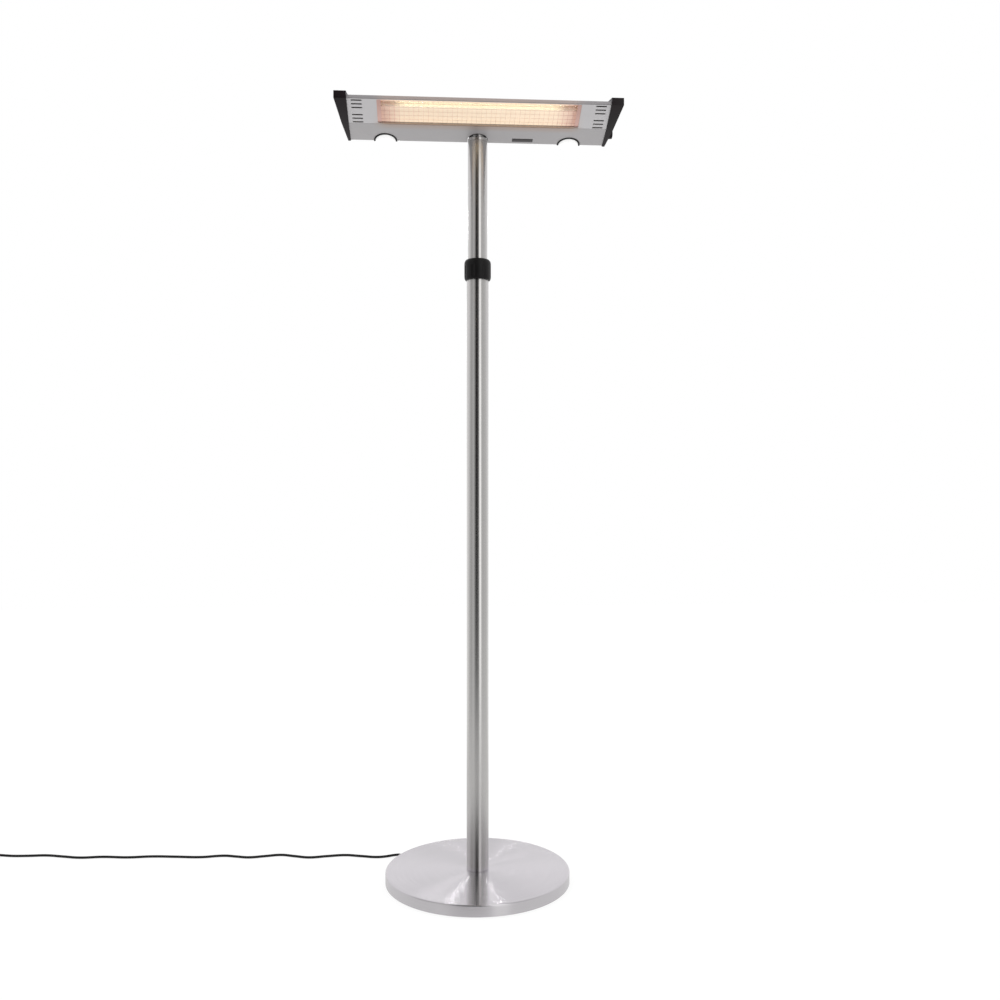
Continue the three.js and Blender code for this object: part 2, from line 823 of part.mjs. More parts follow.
function addLamp(name, x) {
  const lensTop = lampBottom + lampBezelHeight + lensHeight;
  const inner = lampRadius - lampWall;
  const mouth = lampRadius - lampBezel;
  const housing = turnedRing([
    [mouth, lampBottom],
    [lampRadius, lampBottom],
    [lampRadius, lampTop],
    [leadRadius, lampTop],
    [leadRadius, lampTop - lampWall],
    [inner, lampTop - lampWall],
    [inner, lampBottom + lampBezelHeight],
    [mouth, lampBottom + lampBezelHeight],
  ], roundSides);
  const side = lampRadius + cutMargin;
  const front = onLower(-side, -lampRim);
  const rim = [
    front,
    onLower(lowerLength + lampRim, -lampRim),
    [lowestY + lampStep, lowestZ + lampStepRise],
    [lowestY + side, lowestZ + lampStepRise],
    [lowestY + side, lampTop + side],
    [front[0], lampTop + side],
  ];
  const shown = sectionAlongX(rim, x - side, x + side);
  addPiece(`lamp_housing_${name}`, common(housing.translate(x, lowestY, 0), shown), blackPlastic);
  const seat = lampBottom + lampBezelHeight + fit;
  const dome = [];
  for (let step = 0; step <= lensSteps; step += 1) {
    const turn = (step / lensSteps) * (Math.PI / 2);
    dome.push([(mouth - fit) * Math.sin(turn), lampBottom - lensDrop * Math.cos(turn)]);
  }
  const lens = turned([
    ...dome,
    [mouth - fit, seat],
    [inner - fit, seat],
    [inner - fit, lensTop],
    [0, lensTop],
  ], roundSides);
  addPiece(`lamp_lens_${name}`, lens.translate(x, lowestY, 0), quartz);
  const boardBottom = lensTop + fit;
  const ledBoard = rod(inner - fit, boardBottom, boardBottom + ledBoardHeight, smallSides);
  addPiece(`led_board_${name}`, ledBoard.translate(x, lowestY, 0), board);
}

function addElectronics() {
  const [windowStart, windowEnd] = windowRange();
  const right = windowLeft + windowLength;
  const depth = [-windowProud, windowThick];
  const pane = slab(onLower, [windowStart, windowEnd], depth, [windowLeft, right]);
  addPiece('receiver_window', pane, blackPlastic);
  const boardDepth = [windowThick + fit, windowThick + fit + boardThick];
  const boardAlong = [windowStart - boardMargin, windowEnd + boardMargin / 4];
  const boardX = [windowLeft - boardMargin, right + boardMargin];
  addPiece('control_board', slab(onLower, boardAlong, boardDepth, boardX), board);
  const wall = shieldY + shieldSheet + fit;
  const driverHigh = [driverLeft + driverLength, wall + driverDepth, driverBottom + driverHeight];
  addPiece('lamp_driver', box([driverLeft, wall, driverBottom], driverHigh), blackPlastic);
  const blockHigh = [blockLeft + blockLength, wall + blockDepth, blockBottom + blockHeight];
  addPiece('terminal_block', box([blockLeft, wall, blockBottom], blockHigh), ceramic);
  const leadEnd = wall + blockDepth + fit;
  const leadX = blockLeft + blockLength / 2;
  const leadZ = blockBottom + blockHeight / 2;
  const start = [pocketHalf + headLeadGap, headLeadY, pivotZ + headLeadRise];
  const before = [leadX, leadEnd + headLeadStraight, leadZ];
  const hump = start.map((value, i) => (value + before[i]) / 2);
  hump[2] += headLeadHump;
  const route = [start, hump, before, [leadX, leadEnd, leadZ]];
  addPiece('head_lead', tubeAlong(curveThrough(route), leadRadius, cordSides, 12), rubber);
}

// ---------------------------------------------------------------- end caps and knob

const capInside = headHalf + fit;
const capSlope = (capNoseWidth - capRearWidth) / (lowestY - (noseY - capNoseReach));

// The cap's outer face at a place along the section.
function capFaceX(y) {
  return headHalf + capRearWidth + Math.max(0, (lowestY - y) * capSlope);
}

const shellOutline = offsetOutline(shellPath, -capLip, true);
const noseLow = 0; // places of the section's corners in its path
const noseHigh = 1;
const crease = shellPath.length - 1;
const knobBossX = capFaceX(knobY - knobBossRadius) + fit;

function capSection(shrink) {
  const outline = shellOutline.map((point) => [...point]);
  outline[noseLow] = [noseY - capNoseReach, noseBottom - capNoseDrop];
  outline[noseHigh] = [noseY - capNoseReach, noseTop + capNoseRise];
  return shrink > 0 ? offsetOutline(outline, shrink, true) : outline;
}

// Everything on the head's side of the cap's outer face, less a wall.
function capWedge(wall) {
  const front = noseY - 3 * capNoseReach;
  const rear = rearY + 3 * capLip;
  const plan = [
    [0, front],
    [capFaceX(front) - wall, front],
    [capFaceX(lowestY) - wall, lowestY],
    [capFaceX(rear) - wall, rear],
    [0, rear],
  ];
  const wedge = new THREE.ExtrudeGeometry(shapeOf(plan), { depth: roofZ, bevelEnabled: false });
  return wedge.translate(0, 0, lowestZ / 2);
}

function makeEndCap(side) {
  const near = capInside - cutMargin;
  const far = headHalf + capNoseWidth + cutMargin;
  const outer = common(sectionAlongX(capSection(0), capInside, far), capWedge(0));
  const hollow = common(sectionAlongX(capSection(capWall), near, far), capWedge(capWall));
  const postEnd = capFaceX(screwY) - capWall / 2;
  const post = alongX(rod(screwHeadRadius, capInside, postEnd, screwSides), screwY, screwZ);
  const shank = alongX(rod(screwHole, near, far, screwSides), screwY, screwZ);
  const cap = join(cut(outer, hollow), post);
  if (side > 0) {
    const boss = alongX(rod(knobBossRadius, capInside, knobBossX, smallSides), knobY, knobZ);
    const shaftHole = alongX(rod(knobShaftRadius + fit, near, far, smallSides), knobY, knobZ);
    return cut(join(cap, boss), shank, shaftHole);
  }
  return cut(cap, shank).scale(-1, 1, 1);
}

function makeEndPlate(side) {
  const inset = sheet + endPlateInset;
  const outline = offsetOutline(shellPath, inset, true);
  outline[noseLow] = [noseY + inset, noseBottom + inset + behindGuard];
  outline[crease] = [creaseY, creaseZ + inset + behindGuard / 2];
  const right = headHalf - fit;
  const plate = sectionAlongX(outline, right - sheet, right);
  const shank = alongX(rod(screwHole, right - 2 * sheet, right + sheet, screwSides), screwY, screwZ);
  const half = switchSide / 2 + fit;
  const switchHole = box(
    [right - 2 * sheet, knobY - half, knobZ - half],
    [right + sheet, knobY + half, knobZ + half],
  );
  return side > 0 ? cut(plate, shank, switchHole) : cut(plate, shank).scale(-1, 1, 1);
}

function makeCapScrew(side) {
  const seat = capFaceX(screwY) + fit;
  const tip = headHalf - endPlateDepth - screwTip;
  const screw = turned([
    [0, tip],
    [screwRadius, tip],
    [screwRadius, seat],
    [screwHeadRadius, seat],
    [screwHeadRadius, seat + screwHeadHeight / 2],
    [screwHeadRadius / 2, seat + screwHeadHeight],
    [0, seat + screwHeadHeight],
  ], screwSides);
  const placed = alongX(screw, screwY, screwZ);
  return side > 0 ? placed : placed.scale(-1, 1, 1);
}

function makeKnob() {
  const start = knobBossX + fit;
  const inner = headHalf - switchLength / 2;
  const body = turned([
    [0, inner],
    [knobShaftRadius, inner],
    [knobShaftRadius, start],
    [knobRadius, start],
    [knobRadius - knobDraft, start + knobHeight - knobEdge],
    [knobRadius - knobDraft - knobEdge, start + knobHeight],
    [0, start + knobHeight],
  ], roundSides);
  const pointer = box(
    [start + knobHeight - pointerHeight, -pointerWidth / 2, 0],
    [start + knobHeight + pointerHeight, pointerWidth / 2, knobRadius - pointerMargin],
  );
  return join(alongX(body, knobY, knobZ), pointer.translate(0, knobY, knobZ));
}

function makeRotarySwitch() {
  const half = switchSide / 2;
  const body = box(
    [headHalf - switchLength, knobY - half, knobZ - half],
    [headHalf, knobY + half, knobZ + half],
  );
  const bore = rod(knobShaftRadius + fit, headHalf - switchLength / 2 - fit, capInside + fit, smallSides);
  return cut(body, alongX(bore, knobY, knobZ));
}

function addEnds() {
  for (const [name, side] of [['left', -1], ['right', 1]]) {
    addPiece(`end_cap_${name}`, makeEndCap(side), blackPlastic);
    addPiece(`end_plate_${name}`, makeEndPlate(side), darkSteel);
    addPiece(`end_screw_${name}`, makeCapScrew(side), darkSteel);
  }
  addPiece('power_knob', makeKnob(), blackPlastic);
  addPiece('rotary_switch', makeRotarySwitch(), blackPlastic);
}

// ---------------------------------------------------------------- tilt joint in the head

const cheekInner = tongueHalf + fit + tiltWasher + fit;
const cheekOuter = cheekInner + cheekSheet;
const yokeTop = roofUnder - fit;
const yokeUnder = yokeTop - cheekSheet;

function makeYoke() {
  const cheekLine = [[yokeDepthHalf, yokeTop - cheekSheet / 2]];
  for (let step = 0; step <= 10; step += 1) {
    const turn = -(step / 10) * Math.PI;
    cheekLine.push([tongueRadius * Math.cos(turn), pivotZ + tongueRadius * Math.sin(turn)]);
  }
  cheekLine.push([-yokeDepthHalf, yokeTop - cheekSheet / 2]);
  const plate = box([-yokePlateHalf, -yokeDepthHalf, yokeUnder], [yokePlateHalf, yokeDepthHalf, yokeTop]);
  const cheeks = [
    sectionAlongX(cheekLine, cheekInner, cheekOuter),
    sectionAlongX(cheekLine, -cheekOuter, -cheekInner),
  ];
  const pinHole = alongX(rod(tiltBoltRadius + fit, -lowerRadius, lowerRadius, smallSides), 0, pivotZ);
  return cut(join(plate, ...cheeks), pinHole);
}

function addTiltJoint() {
  addPiece('tilt_yoke', makeYoke(), darkSteel);
  const washerStart = tongueHalf + fit;
  for (const [name, side] of [['left', -1], ['right', 1]]) {
    const [inner, outer] = [tiltBoltRadius + fit, tongueRadius - tiltWasher];
    const washer = pipe(inner, outer, washerStart, washerStart + tiltWasher, smallSides);
    const placed = alongX(washer, 0, pivotZ);
    addPiece(`tilt_washer_${name}`, side > 0 ? placed : placed.scale(-1, 1, 1), brass);
  }
  const headStart = cheekOuter + fit;
  const shankEnd = headStart + tiltHeadHeight + fit;
  const head = rod(tiltHeadRadius, headStart, headStart + tiltHeadHeight, hexSides);
  const bolt = join(head, rod(tiltBoltRadius, -shankEnd, headStart + fit, smallSides));
  addPiece('tilt_bolt', alongX(bolt, 0, pivotZ), darkSteel);
  const nutBlank = rod(tiltHeadRadius, -headStart - tiltHeadHeight, -headStart, hexSides);
  const nut = cut(nutBlank, rod(tiltBoltRadius + fit, -shankEnd, 0, smallSides));
  addPiece('tilt_nut', alongX(nut, 0, pivotZ), darkSteel);
}

// ---------------------------------------------------------------- leads inside the mast

function addLeads() {
  const start = baseRadius - sheet - glandFlange - 2 * fit;
  const [cos, sin] = [Math.cos(glandTurn), Math.sin(glandTurn)];
  const at = (radius, z) => [radius * cos, radius * sin, z];
  const route = [
    at(start, glandZ),
    at(THREE.MathUtils.lerp(start, leadCircle, 0.2), glandZ),
    at(THREE.MathUtils.lerp(start, leadCircle, 0.7), glandZ),
    at(leadCircle + leadBend, glandZ),
    at(leadCircle + leadCorner, glandZ + leadBend - leadCorner),
    at(leadCircle, glandZ + 2 * leadBend),
    at(leadCircle, boltTop + footPlugHeight),
    at(leadCircle / 2, boltTop + 3 * footPlugHeight),
    [0, 0, springLeadBottom / 2],
    [0, 0, springLeadBottom - fit],
  ];
  addPiece('base_lead', tubeAlong(curveThrough(route), leadRadius, cordSides, 36), rubber);
  const springTop = glideBottom + glideHeight / 2 - fit;
  const springLead = turned([
    [0, springLeadBottom],
    [springLeadRadius, springLeadBottom],
    [springLeadRadius, glideBottom - springLeadGap],
    [leadRadius, glideBottom - springLeadGap],
    [leadRadius, springTop],
    [0, springTop],
  ], screwSides);
  addPiece('spring_lead', springLead, rubber);
  const upperRoute = [
    [0, 0, springTop + fit],
    [0, 0, upperBottom + spigotHeight + leadEase],
    [postLeadX / 2, 0, (upperBottom + upperTop) / 2],
    [postLeadX, 0, upperTop - spigotHeight - leadEase],
    [postLeadX, 0, upperTop],
    [postLeadX, 0, upperTop + plugCollarHeight + plugConeHeight],
  ];
  addPiece('upper_lead', tubeAlong(curveThrough(upperRoute), leadRadius, cordSides, 12), rubber);
}

// ---------------------------------------------------------------- cord, coil and plug

const cordEdge = 1438; // the coil lies past this distance to the left of the mast
const cordEdgeY = 276;

// The cord's run, from the gland to the coil, as (x, y, z) points.
const cordRun = [
  [-219.5, 184.0, 9.0],
  [-236, 188.5, 6.5],
  [-257, 187, 4.2],
  [-282, 185, 3.5],
  [-330, 196, 3.5],
  [-376, 207, 3.5],
  [-428, 202, 3.5],
  [-479, 195, 3.5],
  [-522, 208, 3.5],
  [-563, 221, 3.5],
  [-608, 214, 3.5],
  [-653, 207, 3.5],
  [-690, 216, 3.5],
  [-725, 225, 3.5],
  [-793, 218, 3.5],
  [-864, 226, 3.5],
  [-934, 233, 3.5],
  [-1003, 230, 3.5],
  [-1074, 239, 3.5],
  [-1141, 237, 3.5],
  [-1190, 249, 3.5],
  [-1243, 262, 3.5],
  [-1290, 262, 3.5],
  [-1338, 264, 3.5],
  [-1386, 274, 3.5],
];

function glandPoint(radius) {
  return [radius * Math.cos(glandTurn), radius * Math.sin(glandTurn), glandZ];
}

// The coil: one tube that winds in on the floor, climbs where it reverses, and winds out on top.
function coilPoints() {
  const centre = [-cordEdge, cordEdgeY - coilRadius];
  const points = [new THREE.Vector3(centre[0] + coilLead, cordEdgeY, cordRadius)];
  const stepsPerTurn = 24;
  const inTurns = coilTurns / 2 - 0.25;
  const total = coilTurns * stepsPerTurn;
  for (let i = 0; i <= total; i += 1) {
    const turns = i / stepsPerTurn;
    const wound = Math.min(turns, coilTurns - turns);
    const climb = THREE.MathUtils.smoothstep(turns, inTurns, coilTurns - inTurns);
    const radius = coilRadius - coilPitch * wound;
    const angle = Math.PI / 2 + turns * 2 * Math.PI;
    points.push(new THREE.Vector3(
      centre[0] + radius * Math.cos(angle),
      centre[1] + radius * Math.sin(angle),
      cordRadius + coilLayerRise * climb,
    ));
  }
  const last = points[points.length - 1];
  for (let i = 1; i <= 4; i += 1) {
    const way = Math.min(1, i / 3);
    const height = THREE.MathUtils.lerp(last.z, plugRise, THREE.MathUtils.smoothstep(way, 0, 1));
    points.push(new THREE.Vector3(last.x - (coilTail * i) / 4, last.y, height));
  }
  return points;
}

// The least gap between two stretches of the tube that aren't neighbours along it.
function leastGap(points, radius) {
  let least = Infinity;
  const fine = new THREE.CatmullRomCurve3(points, false, 'centripetal').getSpacedPoints(600);
  const spacing = fine[0].distanceTo(fine[1]);
  const apart = Math.ceil((6 * radius) / spacing);
  for (let i = 0; i < fine.length; i += 1) {
    for (let j = i + apart; j < fine.length; j += 1) {
      least = Math.min(least, fine[i].distanceTo(fine[j]) - 2 * radius);
    }
  }
  return least;
}

// A tube joined ring by ring, square to its path, with flat ends.
function woundTube(points, radius, sides) {
  const corners = [];
  const index = [];
  const up = new THREE.Vector3(0, 0, 1);
  points.forEach((point, i) => {
    const before = points[Math.max(0, i - 1)];
    const after = points[Math.min(points.length - 1, i + 1)];
    const ahead = after.clone().sub(before).normalize();
    const across = new THREE.Vector3().crossVectors(ahead, up).normalize();
    const above = new THREE.Vector3().crossVectors(across, ahead);
    for (let side = 0; side < sides; side += 1) {
      const turn = ((side + 0.5) / sides) * 2 * Math.PI;
      const corner = point.clone();
      corner.addScaledVector(across, radius * Math.cos(turn));
      corner.addScaledVector(above, radius * Math.sin(turn));
      corners.push(corner.x, corner.y, corner.z);
    }
  });
  for (let ring = 0; ring < points.length - 1; ring += 1) {
    for (let side = 0; side < sides; side += 1) {
      const next = (side + 1) % sides;
      const [a, b] = [ring * sides + side, ring * sides + next];
      index.push(a, b, a + sides, b, b + sides, a + sides);
    }
  }
  const lastRing = (points.length - 1) * sides;
  for (let side = 1; side < sides - 1; side += 1) {
    index.push(0, side + 1, side, lastRing, lastRing + side, lastRing + side + 1);
  }
  const geometry = new THREE.BufferGeometry();
  geometry.setAttribute('position', new THREE.Float32BufferAttribute(corners, 3));
  geometry.setIndex(index);
  return geometry;
}

function makeGland() {
  const wallInside = baseRadius - sheet;
  const profile = [
    [cordRadius + fit, wallInside - fit - glandFlange],
    [glandFlangeRadius, wallInside - fit - glandFlange],
    [glandFlangeRadius, wallInside - 2 * fit],
    [glandRadius, wallInside - 2 * fit],
    [glandRadius, baseRadius + glandStraight],
    [glandTipRadius, baseRadius + glandReach],
    [cordRadius + fit, baseRadius + glandReach],
  ];
  return radially(alongX(turnedRing(profile, smallSides), 0, glandZ));
}

function addCord() {
  addPiece('cord_gland', makeGland(), blackPlastic);
  const start = [glandPoint(baseRadius - sheet - fit), glandPoint(baseRadius + glandReach)];
  const endX = -cordEdge + coilLead + fit;
  const runEnd = [endX, cordEdgeY, cordRadius];
  const beforeEnd = [endX + 3 * cordRadius, cordEdgeY, cordRadius];
  const run = curveThrough([...start, ...cordRun, beforeEnd, runEnd]);
  addPiece('power_cord', tubeAlong(run, cordRadius, cordSides, 78), rubber);
  const coil = coilPoints();
  console.log(`coil: least gap to itself ${leastGap(coil, cordRadius).toFixed(2)} mm`);
  const coilLength = new THREE.CatmullRomCurve3(coil, false, 'centripetal').getLength();
  console.log(`cord: run ${run.getLength().toFixed(0)} mm, coil ${coilLength.toFixed(0)} mm`);
  addPiece('cord_coil', woundTube(coil, cordRadius, coilSides), rubber);
  addPlug(coil[coil.length - 1]);
}

function addPlug(cordEnd) {
  const boot = fit;
  const grip = boot + plugBootLength;
  const face = grip + plugGripLength;
  const front = face + plugFaceLength;
  const body = turned([
    [0, boot],
    [cordRadius + plugBootWall, boot],
    [plugBootRadius, grip],
    [plugGripRadius, grip + plugTaper],
    [plugGripRadius, face - plugTaper],
    [plugBodyRadius, face],
    [plugBodyRadius, front],
    [0, front],
  ], smallSides);
  const place = (geometry, y) => (
    geometry.rotateY(-Math.PI / 2).translate(cordEnd.x, cordEnd.y + y, cordEnd.z)
  );
  const sockets = [-1, 1].map((side) => (
    place(
      rod(pinRadius + fit, front - pinRoot - fit, front + cutMargin, screwSides),
      (side * pinSpacing) / 2,
    )
  ));
  addPiece('plug_body', cut(place(body, 0), ...sockets), blackPlastic);
  [-1, 1].forEach((side, i) => {
    const pin = turned([
      [0, front - pinRoot],
      [pinRadius, front - pinRoot],
      [pinRadius, front + pinLength - pinChamfer],
      [pinRadius - pinChamfer, front + pinLength],
      [0, front + pinLength],
    ], screwSides);
    addPiece(`plug_pin_${i + 1}`, place(pin, (side * pinSpacing) / 2), brass);
  });
}

addBase();
addMast();
addPiece('head_shell', makeShell(), silver);
addPiece('front_panel', makeFrontPanel(), silver);
addPiece('guard_mesh', makeGuard(), darkSteel);
addHeater();
addLamp('left', -lampX);
addLamp('right', lampX);
addElectronics();
addEnds();
addTiltJoint();
addLeads();
addCord();

export default heater;
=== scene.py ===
import json
from math import cos, hypot, pi, radians, sin

import bmesh
import bpy
from mathutils import Matrix, Vector


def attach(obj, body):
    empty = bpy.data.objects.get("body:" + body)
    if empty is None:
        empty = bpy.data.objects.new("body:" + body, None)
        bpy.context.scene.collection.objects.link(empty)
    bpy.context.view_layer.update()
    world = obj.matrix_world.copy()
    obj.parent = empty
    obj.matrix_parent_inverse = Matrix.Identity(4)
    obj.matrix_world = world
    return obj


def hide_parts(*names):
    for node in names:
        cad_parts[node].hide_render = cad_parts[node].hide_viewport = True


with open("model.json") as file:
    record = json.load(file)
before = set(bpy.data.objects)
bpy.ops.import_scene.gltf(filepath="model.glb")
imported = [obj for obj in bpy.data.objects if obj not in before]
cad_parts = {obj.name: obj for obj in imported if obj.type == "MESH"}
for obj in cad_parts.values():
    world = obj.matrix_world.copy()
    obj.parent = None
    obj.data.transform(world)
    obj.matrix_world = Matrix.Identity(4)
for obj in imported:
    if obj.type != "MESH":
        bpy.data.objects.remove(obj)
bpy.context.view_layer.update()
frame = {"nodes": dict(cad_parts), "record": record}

# ------------------------------------ sizes, in metres

gap = 0.0003
sheet = 0.0015
fine_edge = 0.0004
past = 0.004  # how far a cutting shape reaches past what it cuts

base_radius = 0.250
base_top = 0.032
base_lift = 0.002
cover_edge = 0.004

lower_radius = 0.030
lower_top = 1.660
upper_radius = 0.0265
upper_bottom = 1.451
upper_top = 2.011
tube_wall = 0.0015

collar_radius = 0.03625
collar_bottom = 1.6345
collar_top = 1.6905
collar_shoulder = 0.012
collar_lip = 0.008
grip_count = 8
grip_radius = 0.014
grip_depth = 0.0016

pivot_z = 2.050
tongue_half = 0.011
tongue_radius = 0.014

# The head's section, seen from the right, as (y, z).
shell_path = [
    (-0.1405, 2.069),
    (-0.1405, 2.077),
    (-0.060, 2.102),
    (0.052, 2.102),
    (0.052, 2.040),
    (0.012, 2.0155),
    (-0.0585, 2.0345),
]
nose, crease, lowest = shell_path[0], shell_path[6], shell_path[5]
head_half = 0.344
shell_fold = 0.0016
pocket_half = 0.0273
pocket_roof = 2.044
below_head = 1.98  # where shapes that cut the head end
behind_head = 0.07

panel_sheet = 0.0012
opening_half = 0.267
opening_margin = 0.0035
opening_corner = 0.003
louvre_x = 0.319
louvre_length = 0.028
louvre_height = 0.0046
louvre_corner = 0.0012
louvre_pitch = 0.0128
louvre_start = 0.008
louvre_finish = 0.005

guard_inside = 0.0020
guard_overlap = 0.0008
guard_half = 0.293
guard_plate = 0.2565
guard_plate_half = 0.0005
guard_wire = 0.00042
guard_columns = 42
guard_rows = 6

reflector_half = 0.261
reflector_sheet = 0.0008
reflector_inset = 0.0025
reflector_edge = 0.0032
reflector_depth = 0.0285
reflector_fold = 0.007
reflector_shape = [(0, 0), (0.05, 0.35), (0.23, 0.86), (0.34, 1), (0.68, 1), (0.91, 0.47), (1, 0)]
heater_y, heater_z = -0.1014486, 2.0715577
quartz_radius = 0.006
quartz_wall = 0.0011
quartz_end = 0.277
filament_end = 0.287
glow_half = 0.215

lamp_x = 0.250
lamp_radius = 0.0315
lamp_wall = 0.0022
lamp_mouth = 0.0275
lamp_lead_hole = 0.0035
lamp_bottom = 2.0135
lamp_top = 2.0485
lamp_rim = 0.0015
lamp_step = 0.006
lamp_step_rise = 0.009
lens_radius = 0.0272
lens_drop = 0.008
lens_seat = 2.0278
lens_flange = 0.0290
lens_flange_top = 2.0315
lens_ring = 0.00015

window_left = 0.094
window_length = 0.056
window_from_lowest = 0.008
window_depth = 0.014

cap_inside = 0.3443
cap_lip = 0.0025
cap_nose = [(-0.146, 2.066), (-0.146, 2.085)]
cap_rear_face = 0.351
cap_slope = 0.15823
screw_y, screw_z = 0.030, 2.076
screw_start = 0.339
knob_y, knob_z = -0.003, 2.042
knob_radius = 0.0135
knob_height = 0.013
shaft_start = 0.332
boss_radius = 0.0155
boss_face = 0.3561262

gland_angle = radians(140)
gland_z = 0.0095
gland_hole = 0.0068
gland_reach = 0.0240
cord_radius = 0.0035
cord_edge = 1.438
cord_edge_y = 0.276
coil_radius = 0.043
coil_pitch = 0.008
coil_rise = 0.0077
coil_turns = 3
coil_tail = 0.032
plug_z = 0.0172
plug_front = 0.0603
pin_offset = 0.0095
pin_radius = 0.0024
pin_root = 0.0080
pin_reach = 0.0190

# ------------------------------------ camera

camera_data = bpy.data.cameras.new("camera")
camera_data.lens = 36.04
camera_data.sensor_width = 36.0
camera = bpy.data.objects.new("camera", camera_data)
camera.location = (-0.1196, -2.7291, 1.0366)
camera.rotation_euler = (radians(90), 0, radians(-3.79))
bpy.context.scene.collection.objects.link(camera)
bpy.context.scene.camera = camera

# ------------------------------------ mesh tools


def linked(name, data):
    piece = bpy.data.objects.new(name, data)
    bpy.context.scene.collection.objects.link(piece)
    return piece


def shape_of(piece):
    """The piece's shape, to be worked on."""
    bm = bmesh.new()
    bm.from_mesh(piece.data)
    return bm


def put_back(piece, bm):
    """Gives the piece its worked shape."""
    bm.to_mesh(piece.data)
    bm.free()
    return piece


def piece_from(name, bm):
    """Makes an object of a finished shape."""
    bmesh.ops.recalc_face_normals(bm, faces=bm.faces)
    return put_back(linked(name, bpy.data.meshes.new(name)), bm)


def shade(piece, over=30):
    """Smooth faces, with edges kept sharp where they turn by more than an angle."""
    piece.data.polygons.foreach_set("use_smooth", [True] * len(piece.data.polygons))
    piece.data.set_sharp_from_angle(angle=radians(over))
    return piece


def settle(piece):
    """Applies the piece's modifiers."""
    graph = bpy.context.evaluated_depsgraph_get()
    graph.update()
    mesh = bpy.data.meshes.new_from_object(piece.evaluated_get(graph))
    piece.modifiers.clear()
    piece.data = mesh
    return piece


def thicken(piece, thickness, inside=0):
    """Gives a sheet its wall, on its inner side.

    The inner faces take the material that is that many places further on.
    """
    modifier = piece.modifiers.new("thickness", "SOLIDIFY")
    modifier.thickness = thickness
    modifier.material_offset = inside
    modifier.offset = -1
    modifier.use_even_offset = True
    return settle(piece)


def cut_from(piece, *shapes):
    """Cuts each shape out of the piece."""
    for shape in shapes:
        tool = piece_from("cutting_shape", shape)
        modifier = piece.modifiers.new("cut", "BOOLEAN")
        modifier.operation = "DIFFERENCE"
        modifier.solver = "EXACT"
        modifier.object = tool
        settle(piece)
        bpy.data.objects.remove(tool)
    return piece


def block(low, high):
    bm = bmesh.new()
    bmesh.ops.create_cube(bm, size=1)
    low, high = Vector(low), Vector(high)
    bmesh.ops.scale(bm, vec=high - low, verts=bm.verts)
    bmesh.ops.translate(bm, vec=(high + low) / 2, verts=bm.verts)
    return bm


def rod(radius, low, high, segments=48):
    bm = bmesh.new()
    bmesh.ops.create_cone(
        bm, cap_ends=True, segments=segments, radius1=radius, radius2=radius, depth=high - low
    )
    bmesh.ops.translate(bm, vec=(0, 0, (high + low) / 2), verts=bm.verts)
    return bm


def turned(profile, steps=96, ring=False):
    """Spins a profile of (radius, height) round Z. A ring's profile closes on itself."""
    bm = bmesh.new()
    verts = [bm.verts.new((radius, 0, height)) for radius, height in profile]
    ends = verts[1:] + verts[:1] if ring else verts[1:]
    edges = [bm.edges.new(pair) for pair in zip(verts, ends)]
    bmesh.ops.spin(
        bm, geom=verts + edges, cent=(0, 0, 0), axis=(0, 0, 1), dvec=(0, 0, 0),
        angle=2 * pi, steps=steps, use_merge=True, use_duplicate=False,
    )
    bmesh.ops.remove_doubles(bm, verts=bm.verts, dist=1e-6)
    bmesh.ops.recalc_face_normals(bm, faces=bm.faces)
    return bm


def rounded(bm, edges, width, segments):
    bmesh.ops.bevel(
        bm, geom=edges, offset=width, offset_type="OFFSET", segments=segments,
        profile=0.5, affect="EDGES", material=-1, clamp_overlap=True,
    )
    return bm


def soften(bm, width, segments=3, over=30, where=None):
    """Rounds the edges that turn by more than an angle."""
    return rounded(bm, [
        edge for edge in bm.edges
        if edge.is_manifold and edge.calc_face_angle() > radians(over)
        and (not where or where(edge))
    ], width, segments)


def moved(bm, matrix):
    bm.transform(matrix)
    return bm


def shifted(bm, x, y, z):
    return moved(bm, Matrix.Translation((x, y, z)))


def along_x(bm, y, z):
    """Turns a shape made round Z so that its axis lies along X."""
    return moved(bm, Matrix.Translation((0, y, z)) @ Matrix.Rotation(pi / 2, 4, "Y"))


def drawn_out(bm, drawn, length):
    """Moves what an extrusion has just added along X."""
    far = [item for item in drawn["geom"] if isinstance(item, bmesh.types.BMVert)]
    bmesh.ops.translate(bm, vec=(length, 0, 0), verts=far)
    bmesh.ops.recalc_face_normals(bm, faces=bm.faces)
    return bm


def extruded(outline, left, right):
    """A solid drawn along X from a closed outline of (y, z) points."""
    bm = bmesh.new()
    bm.faces.new([bm.verts.new((left, y, z)) for y, z in outline])
    return drawn_out(bm, bmesh.ops.extrude_face_region(bm, geom=bm.faces[:]), right - left)


def together(*shapes):
    """Several shapes as one."""
    whole = bmesh.new()
    for shape in shapes:
        mesh = bpy.data.meshes.new("shape")
        shape.to_mesh(mesh)
        shape.free()
        whole.from_mesh(mesh)
        bpy.data.meshes.remove(mesh)
    return whole


def mirrored(bm):
    bm.transform(Matrix.Scale(-1, 4, (1, 0, 0)))
    bmesh.ops.reverse_faces(bm, faces=bm.faces)
    return bm


def face_frame(start, end):
    """A frame whose axes run along X, from start to end on the section, and into the head."""
    length = hypot(end[0] - start[0], end[1] - start[1])
    down = Vector((0, (end[0] - start[0]) / length, (end[1] - start[1]) / length))
    inward = Vector((0, -down.z, down.y))
    turn = Matrix((Vector((1, 0, 0)), down, inward)).transposed().to_4x4()
    return Matrix.Translation((0, *start)) @ turn, length


panel_frame, panel_length = face_frame(nose, crease)
lower_frame, lower_length = face_frame(crease, lowest)


